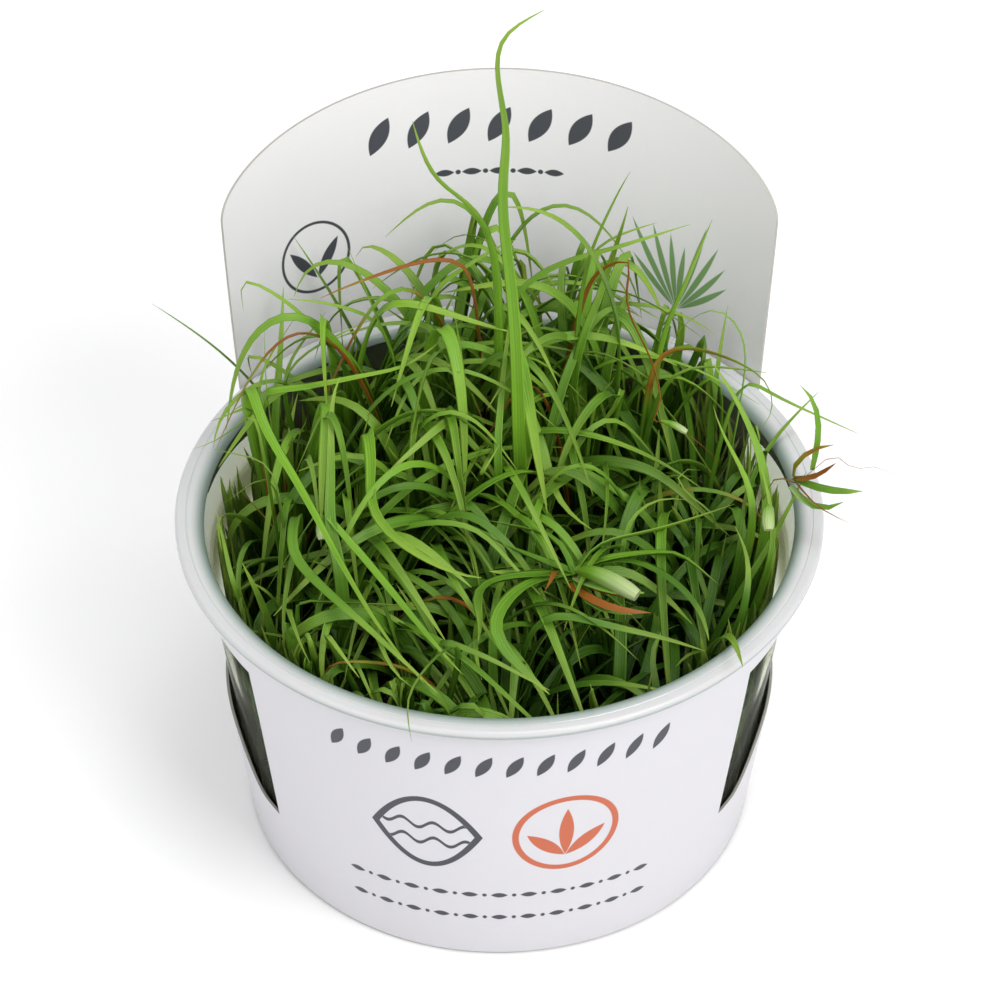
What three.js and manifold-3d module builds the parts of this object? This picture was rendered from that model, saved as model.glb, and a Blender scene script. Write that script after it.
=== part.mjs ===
// Lesser creeping rush plantlets growing in a clear culture cup with a printed card sleeve.
// Millimetres, +Z up. The origin is the centre of the cup's flat base. The front faces -Y.

import * as THREE from "three";
import { mergeVertices } from "three/addons/utils/BufferGeometryUtils.js";
import Module from "manifold-3d";

const wasm = await Module();
wasm.setup();

// Cup
const CUP_HEIGHT = 54.8;
const RIM_RADIUS = 47.5;
const BASE_RADIUS = 37.6;
const TOP_RADIUS = 44.2;
const WALL = 1;
const FLOOR = 1.2;
const RIM_SHEET = 0.9;
const LIP_DROP = 1.2;
const SHOULDER = 1.9;
const FOOT_ROUND = 1.5;
const LIP = 0.8;
const RIM_ROUND = 0.6;
const ROUND_SEGMENTS = 48;

// Card sleeve. Angles are degrees round the cup from the front, the left side first.
const CARD = 0.4;
const CARD_FOOT = 0.4;
const CARD_FOOT_RADIUS = 38.4;
const CARD_FRONT_TOP_RADIUS = 45.5;
const CARD_BACK_TOP_RADIUS = 48.4;
const LEAN_FROM = 78;
const LEAN_TO = 122;
const WINDOW_FROM = 54;
const WINDOW_TO = 125.1;
const WINDOW_SILL = 14.5;
const WINDOW_HUMP = 7.5;
const HUMP_RISE = [5.5, 22.5];
const WINDOW_HEAD = 46;
const BAND_TOP = 53.3;
const HEADER_SIDE_TOP = 80.5;
const HEADER_RISE = 13;
const HEADER_HALF_ANGLE = 51;
const FRONT_STEPS = 6;
const HEADER_STEPS = 8;

// Growth gel and crowns
const GAP = 0.3;
const GEL_TOP = 10;
const CROWN_RADIUS = 2.5;
const CROWN_FOOT_RADIUS = 2;
const CROWN_HEIGHT = 6;
const CROWN_SIDES = 6;

// Leaves
const LEAF_FOOT = GEL_TOP + GAP + 2;
const LONG_CLIMB = 30;
const LEAF_GAP = 0.36;
const WALL_GAP = 0.5;
const HEADER_FROM = 50.8;
const KEEL = 0.36;
const FOOT_TAPER = 0.8;
const RING_SPACING = 13;
const SPARE_LEAVES = 3;
const LEAF_TURN = 2.4;
const SEED = 20210;

// Two shafts that the leaves leave open down to the gel: low and high corner in plan
const SHAFTS = [
  [[11, 2.5], [19.5, 11]],
  [[-13.5, -15], [-5.5, -6.5]],
];

const rad = THREE.MathUtils.degToRad;
const at = (x, y, z) => new THREE.Vector3(x, y, z);

// Crossing leaves are parted along this slant, by slides and then by small moves
const SLANT = at(0, -0.75, 0.66);
const SLIDES = [0, 1.5, -1.5, 3, -3, 4.5, -4.5];
const SETTLE_ROUNDS = 80;
const SLANT_SHARE = 0.3;
const MOVE_REACH = 1.5;
const MOVE_EXTRA = 0.15;

// Places a point by its angle from the front, its distance from the axis and its height.
function around(angle, radius, z) {
  return at(-radius * Math.sin(rad(angle)), -radius * Math.cos(rad(angle)), z);
}

function smooth(from, to, value) {
  return THREE.MathUtils.smoothstep(value, from, to);
}

// A repeatable draw of numbers from 0 to 1.
function drawer(seed) {
  let state = seed;
  return () => {
    state = (state * 48271) % 2147483647;
    return state / 2147483647;
  };
}

// Plantlets: the place of each crown on the gel, and the routes of the leaves that stand out.
// A route starts above the crown, or at its own first point where the leaf branches off a stem.
const leaf = (width, route, branches = false) => ({ width, route, branches });
const branch = (width, route) => leaf(width, route, true);

const PLANTLETS = [
  {
    crown: [0, -30],
    leaves: [
      leaf(1.6, [[3, -22, 55], [12, -24, 54], [20, -26, 54], [26, -28, 53.5], [29, -30, 54]]),
    ],
  },
  {
    crown: [16, -28],
    leaves: [],
  },
  {
    crown: [27, -17],
    leaves: [
      leaf(1.6, [[36, -22, 56], [35.5, -12, 57], [34, -8, 58]]),
    ],
  },
  {
    crown: [32, -3],
    leaves: [
      leaf(2, [[40, -6, 57], [37.5, 2, 65], [34, 6, 71], [31, 8, 75]]),
      leaf(1, [[39, -3, 62], [42, -5, 63], [45, -5, 66], [48, -5, 69], [51, -5, 66], [53, -5, 67],
        [57.5, -5, 65]]),
      branch(1.3, [[42, -5, 63], [42, -5, 67], [45, -4, 69.5], [48, -4, 70]]),
      branch(1.3, [[42, -5, 63], [45, -7, 66], [48, -8, 70]]),
      branch(1.3, [[42, -5, 63], [47, -8, 64.5], [52, -9, 65.5]]),
      branch(1.3, [[42, -5, 63], [45.5, -8, 62], [50.5, -11, 61]]),
      branch(1, [[45, -5, 66], [46, -3, 72], [45, -1, 76], [43, 1, 77]]),
      leaf(1.2, [[35, -12, 57], [35, -6, 58], [36, -3, 60], [36.5, 1, 64], [36.5, 4, 67]]),
      leaf(1.6, [[39, -16, 56], [39.5, -8, 58], [39, -4, 60.5], [38, -1, 63]]),
      leaf(1.8, [[38, -8, 59], [35, -2, 63.5], [32, 3, 67], [31, 6, 69]]),
    ],
  },
  {
    crown: [30, 14],
    leaves: [
      leaf(1, [[35.5, 10, 66], [36, 12, 72], [35.5, 13, 77], [32, 15, 80], [29, 16, 78], [26, 17, 74],
        [25, 17, 71]]),
      leaf(1.4, [[34, 8, 73], [37.5, 6, 72], [43.5, 3, 71], [52, 0, 68.5]]),
    ],
  },
  {
    crown: [20, 26],
    leaves: [
      leaf(1.3, [[23, 20, 60], [24, 20, 71], [26.5, 19, 79], [28.5, 18, 87], [30.5, 17, 94.5]]),
      leaf(1.4, [[23, 13, 66], [26.5, 11, 71], [30, 10, 72.5], [39, 6, 74]]),
      leaf(1.4, [[22, 14, 66], [23, 15, 71], [27, 14, 74], [33.5, 9, 74], [39, 4, 75], [39.5, 2, 71],
        [38, 1, 69]]),
    ],
  },
  {
    crown: [6, 31],
    leaves: [
      leaf(1.3, [[9, 25, 73], [14, 25, 83], [18, 24, 86.5], [23, 24, 88.5]]),
      leaf(1.6, [[11, 20, 71], [13.5, 19, 82], [16.5, 17, 86.5], [19, 16, 87.5], [18, 13, 81],
        [18.5, 10.5, 73], [20.5, 9.5, 66.5], [22, 9, 63.5], [25.5, 8, 63.5], [30.5, 4, 62],
        [32, 3, 60.5]]),
      leaf(3, [[2.5, 18, 67.5], [3, 14, 64], [5, 10, 61.5], [7, 7, 58.5], [9, 4, 55.5], [11.5, 0, 53.5],
        [13.5, -2, 52]]),
    ],
  },
  {
    crown: [-9, 31],
    leaves: [],
  },
  {
    crown: [-23, 23],
    leaves: [
      leaf(1.4, [[-18.5, 17, 67], [-15, 12, 64], [-10, 8, 62], [-6.5, 5, 61], [-3, 0, 59.5]]),
      leaf(1.3, [[-33, 13, 65], [-30, 16, 70.5], [-25.5, 20, 75]]),
      leaf(1.4, [[-33, 12, 65], [-30.5, 13, 70], [-27.5, 15, 72.5], [-19, 18, 75]]),
    ],
  },
  {
    crown: [-31, 9],
    leaves: [
      leaf(2, [[-37.5, 9, 67], [-36, 7, 72.5], [-35, 3, 71], [-32.5, -2, 68], [-28, -9, 66],
        [-20.5, -24, 60], [-13.5, -35, 57], [-9.5, -40, 56]]),
      leaf(2, [[-35.5, 7, 69], [-33.5, 8, 70], [-28, 8, 70.5], [-18, 10, 72], [-13.5, 10, 72.5],
        [-7.5, 14, 75.5]]),
      leaf(1.2, [[-35.5, 6, 64], [-35, 12, 70], [-32.5, 14, 73.5], [-29.5, 17, 77]]),
      leaf(1.1, [[-33.5, 6, 67.5], [-34, 10, 73], [-34, 12, 78]]),
      leaf(1.1, [[-34.5, 6, 69.5], [-37.5, 3, 70], [-41.5, 0, 71]]),
    ],
  },
  {
    crown: [-31, -7],
    leaves: [
      leaf(1.2, [[-34, 0, 69.5], [-35.5, 2, 70.5], [-38, 0, 70], [-41, -3, 69.5], [-44, -5, 70]]),
      leaf(1.2, [[-30.5, -8, 65], [-34, -4, 67], [-37, -4, 68], [-41, -5, 70]]),
      leaf(1.2, [[-38, -18, 54], [-39, -13, 56], [-41, -5, 58]]),
      leaf(1.2, [[-31.5, -2, 63.5], [-35.5, -4, 62.5], [-40.5, -6, 60]]),
      leaf(1.8, [[-28.5, -4, 61.5], [-30, -13, 60], [-29, -18, 60], [-22, -26, 59], [-17, -31, 58],
        [-8.5, -41, 56.5]]),
    ],
  },
  {
    crown: [-24, -21],
    leaves: [
      leaf(2.2, [[-22, -20, 56], [-23.5, -16, 61], [-24.5, -12, 63.5], [-24, -6, 67], [-24.5, 4, 71.5],
        [-23, 7, 73.5]]),
      branch(1.3, [[-24.5, -12, 63.5], [-19.5, -17, 60.5], [-13.5, -26, 59], [-8, -34, 57.5],
        [-5, -38, 57]]),
      leaf(1.4, [[-29.5, -24, 57], [-28, -24, 58], [-24, -25, 59], [-19, -25, 58.5], [-10.5, -26, 59]]),
      leaf(2, [[-30.5, -22, 57], [-29.5, -27, 58.5], [-28, -32, 57.5], [-26.5, -35, 56.5]]),
    ],
  },
  {
    crown: [-13, -28],
    leaves: [
      leaf(1.6, [[-25.5, -28, 57.5], [-23.5, -32, 58], [-19.5, -38, 56.5]]),
      leaf(1.4, [[-9.5, -30, 56], [-7.5, -32, 57.5], [-2, -35, 58], [3, -38, 57], [7, -40, 56]]),
      leaf(1.1, [[-4, -33, 59], [-8, -37, 61], [-11.5, -42, 60], [-13, -46, 59], [-12, -50, 55.5]]),
    ],
  },
  {
    crown: [4, -18],
    leaves: [],
  },
  {
    crown: [16, -12],
    leaves: [
      leaf(1.8, [[8.5, -16, 50], [11, -14, 54], [13, -10, 56], [17.5, -8, 56], [23.5, -7, 56.5],
        [34, -5, 59.5]]),
      branch(2, [[11, -14, 54], [14, -12, 55.5], [20.5, -12, 56.5], [25, -12, 57], [27.5, -14, 57],
        [31.5, -18, 55.5]]),
      branch(1.8, [[11, -14, 54], [5, -14, 57.5], [-1.5, -12, 59.5]]),
      branch(1.6, [[11, -14, 54], [9, -9, 56.5], [5, -9, 58.5], [-1.5, -8, 59]]),
      branch(1.8, [[11, -14, 54], [3.5, -15, 55], [-1.5, -15, 55.5]]),
      branch(2.2, [[11, -14, 54], [13, -17, 55], [16, -18, 55], [18.5, -19, 54]]),
      branch(1.8, [[11, -14, 54], [12.5, -21, 55], [16, -22, 54.5], [19, -22, 53.5]]),
      branch(2.2, [[11, -14, 54], [4, -18, 57], [0.5, -24, 57.5], [-1, -29, 58], [1, -34, 57],
        [7, -41, 56]]),
      branch(2.2, [[11, -14, 54], [3, -17, 57], [-2, -19, 57.5], [-3.5, -23, 58], [-2.5, -27, 57.5],
        [-3, -31, 56.5]]),
      branch(1.3, [[11, -14, 54], [16, -12, 55.5], [21.5, -13, 55.5], [28.5, -22, 56],
        [29.5, -30, 55]]),
      leaf(1.2, [[17.5, -9, 52], [18.5, -4, 54.5], [21, -1, 55.5], [24, 1, 55.5], [27.5, 1, 55]]),
    ],
  },
  {
    crown: [24, 3],
    leaves: [
      leaf(1, [[32.5, -4, 55.5], [30, -3, 56.5], [28, -1, 57.5], [25.5, 2, 58], [27, 3, 59.5],
        [29.5, 3, 59]]),
    ],
  },
  {
    crown: [12, 17],
    leaves: [
      leaf(1.8, [[19, 18, 67.5], [16.5, 17, 79.5], [13.5, 15, 90.5], [9, 13, 97.5], [4.5, 12, 100.5],
        [0, 12, 100.5]]),
      leaf(1.2, [[11, 19, 78], [14, 17, 91], [17, 16, 100.5], [18.5, 15, 104.5]]),
      leaf(1.8, [[9.5, 16, 67], [12.5, 18, 77], [15, 20, 82.5], [17.5, 20, 89.5], [18.5, 20, 94.5]]),
      leaf(1.4, [[18.5, 17, 65.5], [18, 15.5, 62.5], [16, 15, 58.5], [13.5, 15, 56.5],
        [8.5, 14, 55.5]]),
    ],
  },
  {
    crown: [-1, 19],
    leaves: [
      leaf(2, [[2, 15, 75.5], [0, 14, 92], [-4, 13, 100.5], [-8, 12, 104], [-10.5, 11, 109.5],
        [-12, 10, 117]]),
      leaf(1.4, [[1, 20, 71.5], [2.5, 21, 77.5], [7.5, 22, 82], [13.5, 22, 84], [18, 22, 85.5],
        [27.5, 22, 89.5]]),
      leaf(1.8, [[5, 7, 62.5], [4, 12, 70], [2, 18, 76.5], [0, 21, 80]]),
      leaf(1.5, [[-3, 20, 75.5], [-4.5, 22, 82.5], [-9.5, 22, 83.5], [-15.5, 20, 83], [-23, 18, 81],
        [-26, 17, 80]]),
    ],
  },
  {
    crown: [-13, 17],
    leaves: [
      leaf(2, [[-11, 20, 70.5], [-10, 22, 77.5], [-5.5, 22, 81.5], [-1, 21, 86], [2.5, 20, 88.5]]),
      leaf(1.2, [[-14.5, 12, 67], [-15.5, 16, 71], [-17.5, 17, 75], [-20, 18, 83], [-22, 18, 89]]),
      leaf(1.3, [[-14.5, 18, 70.5], [-19.5, 20, 74], [-21.5, 20, 75.5], [-27, 19, 78], [-31, 18, 79]]),
    ],
  },
  {
    crown: [-21, 5],
    leaves: [
      leaf(2.4, [[-20, 6, 68], [-18.5, -1, 67], [-16.5, -6, 65], [-13.5, -11, 64], [-5.5, -21, 63],
        [-2.5, -24, 62.5]]),
    ],
  },
  {
    crown: [-20, -9],
    leaves: [],
  },
  {
    crown: [-7, -19],
    leaves: [],
  },
  {
    crown: [3, 3],
    leaves: [
      leaf(2.2, [[4.5, 3, 67], [3, 8, 87.5], [0, 10, 100.5], [1, 10, 112], [1, 10, 117], [-1, 10, 128],
        [1.5, 10, 132.5], [6, 10, 135.5]]),
      leaf(1.6, [[-0.5, -2, 64], [0, 4, 67], [0.5, 10, 71.5], [1.5, 15, 77], [2.5, 18, 80.5]]),
    ],
  },
  {
    crown: [-9, 4],
    leaves: [
      leaf(1.4, [[-5.5, 0, 63.5], [-5, 9, 68.5], [-5.5, 14, 72], [-7, 20, 78]]),
    ],
  },
];

// Radii of the cup and the card at a height

function cupOuter(z) {
  return BASE_RADIUS + ((TOP_RADIUS - BASE_RADIUS) * z) / CUP_HEIGHT;
}

function cupInner(z) {
  return cupOuter(z) - WALL;
}

function cardOuter(angle, z) {
  const fromFront = Math.min(angle, 360 - angle);
  const lean = smooth(LEAN_FROM, LEAN_TO, fromFront);
  const top = THREE.MathUtils.lerp(CARD_FRONT_TOP_RADIUS, CARD_BACK_TOP_RADIUS, lean);
  return CARD_FOOT_RADIUS + ((top - CARD_FOOT_RADIUS) * z) / CUP_HEIGHT;
}

// Closed solids

// Makes a solid of a geometry: its corners merged, its faces pointing out.
function solid(geometry) {
  geometry.deleteAttribute("normal");
  geometry.deleteAttribute("uv");
  const merged = mergeVertices(geometry, 1e-5);
  const index = merged.index.array;
  const faces = [];
  for (let i = 0; i < index.length; i += 3) {
    const [a, b, c] = [index[i], index[i + 1], index[i + 2]];
    if (a !== b && b !== c && c !== a) {
      faces.push(a, b, c);
    }
  }
  const corners = merged.attributes.position.array;
  if (volume(corners, faces) < 0) {
    faces.reverse();
  }
  return new wasm.Manifold(
    new wasm.Mesh({
      numProp: 3,
      vertProperties: new Float32Array(corners),
      triVerts: new Uint32Array(faces),
    }),
  );
}

function volume(corners, faces) {
  let sum = 0;
  const [a, b, c] = [at(), at(), at()];
  for (let i = 0; i < faces.length; i += 3) {
    a.fromArray(corners, faces[i] * 3);
    b.fromArray(corners, faces[i + 1] * 3);
    c.fromArray(corners, faces[i + 2] * 3);
    sum += a.dot(b.cross(c)) / 6;
  }
  return sum;
}

function geometryOf(manifold) {
  const mesh = manifold.getMesh();
  const geometry = new THREE.BufferGeometry();
  geometry.setAttribute("position", new THREE.BufferAttribute(mesh.vertProperties, 3));
  geometry.setIndex(new THREE.BufferAttribute(mesh.triVerts, 1));
  return geometry;
}

// Turns a profile of [radius, height] pairs about the Z axis.
function turned(profile, segments) {
  const points = profile.map(([radius, z]) => new THREE.Vector2(radius, z));
  return new THREE.LatheGeometry(points, segments).rotateX(Math.PI / 2);
}

// Cup: a tapered tub with a rounded foot, and a flat flange with a rounded inner shoulder.
function cupGeometry() {
  const under = CUP_HEIGHT - RIM_SHEET;
  const lipFoot = CUP_HEIGHT - LIP_DROP;
  const shoulderFoot = CUP_HEIGHT - SHOULDER;
  const outside = [
    [0, 0],
    [BASE_RADIUS - FOOT_ROUND, 0],
    [cupOuter(FOOT_ROUND), FOOT_ROUND],
    [cupOuter(under), under],
    [RIM_RADIUS - LIP, under],
    [RIM_RADIUS - LIP, lipFoot],
    [RIM_RADIUS, lipFoot],
  ];
  const inside = [
    [RIM_RADIUS, CUP_HEIGHT - RIM_ROUND],
    [RIM_RADIUS - RIM_ROUND, CUP_HEIGHT],
    [cupInner(CUP_HEIGHT) + SHOULDER, CUP_HEIGHT],
    [cupInner(shoulderFoot), shoulderFoot],
    [cupInner(FLOOR + FOOT_ROUND), FLOOR + FOOT_ROUND],
    [cupInner(FLOOR) - FOOT_ROUND, FLOOR],
    [0, FLOOR],
  ];
  return turned([...outside, ...inside], ROUND_SEGMENTS);
}

// Sleeve: a card wall on columns round the cup, with cells left out for the windows and the notch
// above the band, and its top edge raised in half an ellipse at the back.
function sleeveGeometry() {
  const half = [];
  const WINDOW_STOPS = [0, 6, 11, 16, 23, 35.5, 48, 55, 60, 65];
  for (let i = 0; i < FRONT_STEPS; i++) {
    half.push({ angle: (WINDOW_FROM * i) / FRONT_STEPS });
  }
  for (const stop of WINDOW_STOPS) {
    half.push({ angle: WINDOW_FROM + stop });
  }
  for (let i = 0; i <= HEADER_STEPS; i++) {
    const turn = (Math.PI / 2) * (1 - i / HEADER_STEPS);
    half.push({ angle: 180 - (180 - WINDOW_TO) * Math.sin(turn), turn });
  }
  const mirrored = half
    .slice(1, -1)
    .reverse()
    .map((column) => ({ ...column, angle: 360 - column.angle }));
  const columns = [...half, ...mirrored];
  const [HUMP_ROW, BAND_ROW, HEADER_ROW] = [1, 2, 3];
  const ROWS = 4;

  const grid = columns.map(({ angle, turn }) => {
    const fromFront = Math.min(angle, 360 - angle);
    const fromEdge = Math.min(fromFront - WINDOW_FROM, WINDOW_TO - fromFront);
    const sill = WINDOW_SILL + WINDOW_HUMP * smooth(...HUMP_RISE, fromEdge);
    const places = [CARD_FOOT, sill, WINDOW_HEAD, BAND_TOP].map((z) => [angle, z]);
    if (turn === undefined) {
      places.push([angle, BAND_TOP]);
    } else {
      const side = angle > 180 ? -1 : 1;
      const topAngle = 180 - side * HEADER_HALF_ANGLE * Math.sin(turn);
      places.push([topAngle, HEADER_SIDE_TOP + HEADER_RISE * Math.cos(turn)]);
    }
    return places.map(([degrees, z]) => {
      const radius = cardOuter(degrees, z);
      return [around(degrees, radius, z), around(degrees, radius - CARD, z)];
    });
  });

  const count = columns.length;
  const present = (i, row) => {
    const from = columns[(i + count) % count].angle;
    const to = columns[(i + 1 + count) % count].angle || 360;
    const fromFront = Math.min((from + to) / 2, 360 - (from + to) / 2);
    if (row === HUMP_ROW) {
      return fromFront < WINDOW_FROM || fromFront > WINDOW_TO;
    }
    return row >= 0 && (row <= BAND_ROW || (row === HEADER_ROW && fromFront > WINDOW_TO));
  };

  const corners = [];
  const quad = (a, b, c, d) => {
    for (const point of [a, b, c, a, c, d]) {
      corners.push(...point);
    }
  };
  for (let i = 0; i < count; i++) {
    const left = grid[i];
    const right = grid[(i + 1) % count];
    for (let j = 0; j < ROWS; j++) {
      if (!present(i, j)) {
        continue;
      }
      const [a, b, c, d] = [left[j], right[j], right[j + 1], left[j + 1]];
      quad(a[0], d[0], c[0], b[0]);
      quad(a[1], b[1], c[1], d[1]);
      if (!present(i, j - 1)) {
        quad(a[0], b[0], b[1], a[1]);
      }
      if (!present(i, j + 1)) {
        quad(c[0], d[0], d[1], c[1]);
      }
      if (!present(i - 1, j)) {
        quad(d[0], a[0], a[1], d[1]);
      }
      if (!present(i + 1, j)) {
        quad(b[0], c[0], c[1], b[1]);
      }
    }
  }
  const geometry = new THREE.BufferGeometry();
  geometry.setAttribute("position", new THREE.Float32BufferAttribute(corners, 3));
  return geometryOf(solid(geometry));
}

// Growth gel: a disc that fills the foot of the cup.
function gelGeometry() {
  const foot = FLOOR + GAP;
  return turned(
    [
      [0, foot],
      [cupInner(foot) - FOOT_ROUND - GAP, foot],
      [cupInner(foot + FOOT_ROUND) - GAP, foot + FOOT_ROUND],
      [cupInner(GEL_TOP) - GAP, GEL_TOP],
      [0, GEL_TOP],
    ],
    ROUND_SEGMENTS / 2,
  );
}

// Crown: the short swollen foot that a plantlet's leaves grow from.
function crownSolid([x, y]) {
  const foot = GEL_TOP + GAP;
  const geometry = turned(
    [
      [0, foot],
      [CROWN_FOOT_RADIUS, foot],
      [CROWN_RADIUS, foot + CROWN_HEIGHT / 3],
      [0, foot + CROWN_HEIGHT],
    ],
    CROWN_SIDES,
  );
  return solid(geometry.translate(x, y, 0));
}

// Leaf routes

// Keeps a point of a leaf inside the cup, over the rim, off the header and out of the shafts.
function kept(point, margin) {
  let radius = Math.hypot(point.x, point.y);
  const angle = (THREE.MathUtils.radToDeg(Math.atan2(-point.x, -point.y)) + 360) % 360;
  const overRim = CUP_HEIGHT + margin;
  if (point.z < CUP_HEIGHT - 1) {
    radius = Math.min(radius, cupInner(point.z) - margin);
  } else if (point.z < overRim && radius > cupInner(CUP_HEIGHT) - margin) {
    point.z = overRim;
  }
  if (point.z > HEADER_FROM && Math.min(angle, 360 - angle) > WINDOW_TO - 4) {
    radius = Math.min(radius, cardOuter(angle, point.z) - CARD - margin);
  }
  const now = Math.hypot(point.x, point.y);
  if (radius < now) {
    point.x *= radius / now;
    point.y *= radius / now;
  }
  for (const [low, high] of SHAFTS) {
    const exits = [
      [point.x - (low[0] - margin), -1, 0],
      [high[0] + margin - point.x, 1, 0],
      [point.y - (low[1] - margin), 0, -1],
      [high[1] + margin - point.y, 0, 1],
    ];
    exits.sort((a, b) => a[0] - b[0]);
    const [depth, alongX, alongY] = exits[0];
    if (depth > 0) {
      point.x += depth * alongX;
      point.y += depth * alongY;
    }
  }
  return point;
}

function curveOf(points) {
  return new THREE.CatmullRomCurve3(points, false, "catmullrom", 0.5);
}

function samplesOf(points, count) {
  const curve = curveOf(points);
  const samples = [];
  for (let i = 0; i <= count; i++) {
    samples.push(curve.getPoint(i / count));
  }
  return samples;
}

function lengthOf(points) {
  let sum = 0;
  for (let i = 1; i < points.length; i++) {
    sum += points[i].distanceTo(points[i - 1]);
  }
  return sum;
}

// The nearest points of two straight stretches, each a share along its own stretch.
function nearest(a0, a1, b0, b1) {
  const u = a1.clone().sub(a0);
  const v = b1.clone().sub(b0);
  const w = a0.clone().sub(b0);
  const [uu, uv, vv, uw, vw] = [u.dot(u), u.dot(v), v.dot(v), u.dot(w), v.dot(w)];
  const clamp = (value) => Math.min(1, Math.max(0, value));
  const square = uu * vv - uv * uv;
  let s = square > 1e-9 ? clamp((uv * vw - vv * uw) / square) : 0.5;
  const t = clamp((uv * s + vw) / vv);
  s = clamp((uv * t - uw) / uu);
  const from = a0.clone().addScaledVector(u, s);
  const to = b0.clone().addScaledVector(v, t);
  return { s, apart: from.sub(to) };
}

// The worst place where a new leaf comes too near a leaf or crown of another plantlet.
function worstClash(path, reach, owner, laid) {
  let worst = null;
  for (const other of laid) {
    if (other.owner === owner) {
      continue;
    }
    for (let i = 1; i < path.length; i++) {
      const need = reach * (i === 1 ? FOOT_TAPER : 1) + other.reach + LEAF_GAP;
      for (let j = 1; j < other.path.length; j++) {
        if (tooFar(path[i - 1], path[i], other.path[j - 1], other.path[j], need)) {
          continue;
        }
        const { s, apart } = nearest(path[i - 1], path[i], other.path[j - 1], other.path[j]);
        const short = need - apart.length();
        if (short > 0 && (!worst || short > worst.short)) {
          worst = { short, apart, share: (i - 1 + s) / (path.length - 1) };
        }
      }
    }
  }
  return worst;
}

function tooFar(a0, a1, b0, b1, need) {
  for (const axis of ["x", "y", "z"]) {
    if (Math.min(a0[axis], a1[axis]) - Math.max(b0[axis], b1[axis]) > need) {
      return true;
    }
    if (Math.min(b0[axis], b1[axis]) - Math.max(a0[axis], a1[axis]) > need) {
      return true;
    }
  }
  return false;
}

// Moves the points of a leaf until it is clear of the cup and of every leaf of other plantlets.
// Gives back the settled points, or null where the leaf finds no room.
function settled(points, width, owner, laid, isPlaced) {
  const reach = width / 2;
  const move = (share, shift) => {
    const place = share * (points.length - 1);
    for (let i = 1; i < points.length; i++) {
      const weight = Math.max(0, 1 - Math.abs(i - place) / MOVE_REACH);
      points[i].addScaledVector(shift, weight);
    }
  };
  for (let round = 0; round < SETTLE_ROUNDS; round++) {
    const path = samplesOf(points, ringsFor(points));
    const last = path.length - 1;
    let strayed = false;
    for (let share = 1; share <= last; share += 0.25) {
      const before = path[Math.ceil(share) - 1];
      const place = before.clone().lerp(path[Math.ceil(share)], share - Math.ceil(share) + 1);
      const shift = kept(place.clone(), reach + WALL_GAP).sub(place);
      if (shift.length() > 0.02) {
        strayed = true;
        move(share / last, shift.multiplyScalar(1.1));
      }
    }
    if (strayed) {
      continue;
    }
    const clash = worstClash(path, reach, owner, laid);
    if (!clash) {
      return points;
    }
    const slants = isPlaced && clash.share > SLANT_SHARE && round < SETTLE_ROUNDS / 2;
    const way = slants ? SLANT.clone() : clash.apart.clone().normalize();
    const side = way.dot(clash.apart) < 0 ? -1 : 1;
    move(clash.share, way.multiplyScalar(side * (clash.short + MOVE_EXTRA)));
  }
  return null;
}

function ringsFor(points) {
  return Math.max(5, Math.round(lengthOf(points) / RING_SPACING) + 1);
}

// A leaf that nobody placed by hand: it leaves the crown at its own heading and lean, and bends
// over. Leaves at the back of the cup grow taller than those at the front.
function spareRoute([x, y], facing, draw) {
  const heading = facing + 0.8 * (draw() - 0.5);
  const curl = rad(60) * (draw() - 0.5);
  const lean = rad(3 + 12 * draw());
  const bend = rad(15 + 70 * draw());
  const length = (56 + 0.3 * y) * (0.75 + 0.4 * draw());
  const steps = 5;
  const route = [];
  const tip = at(x, y, LEAF_FOOT);
  for (let i = 1; i <= steps; i++) {
    const share = i / steps;
    const angle = lean + bend * share ** 2;
    const turn = heading + curl * share;
    const step = at(Math.cos(turn) * Math.sin(angle), Math.sin(turn) * Math.sin(angle), Math.cos(angle));
    tip.addScaledVector(step, length / steps);
    route.push([tip.x, tip.y, tip.z]);
  }
  return route;
}

// The side of the crown that a leaf grows from: each is turned on from the last, as leaves are.
function footAngle(index) {
  return index * LEAF_TURN;
}

// The whole route of a leaf, from inside its crown, or inside the stem it branches from. A leaf
// with a long climb to its first placed point goes up steeply before it leans over.
function fullRoute({ route, branches }, crown, angle) {
  const points = route.map((place) => at(...place));
  if (branches) {
    return points;
  }
  const off = CROWN_RADIUS * 0.5;
  const foot = at(crown[0] + off * Math.cos(angle), crown[1] + off * Math.sin(angle), LEAF_FOOT);
  const climb = points[0].z - foot.z;
  const rise = foot.clone().lerp(points[0], 0.25).setZ(foot.z + 0.4 * climb);
  return climb > LONG_CLIMB ? [foot, rise, ...points] : [foot, ...points];
}

// The point of the leaves already laid that is nearest to a place.
function nearestOn(leaves, place) {
  let best = null;
  for (const { path } of leaves) {
    for (let i = 1; i < path.length; i++) {
      const found = new THREE.Line3(path[i - 1], path[i]).closestPointToPoint(place, true, at());
      if (!best || found.distanceTo(place) < best.distanceTo(place)) {
        best = found;
      }
    }
  }
  return best;
}

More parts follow.
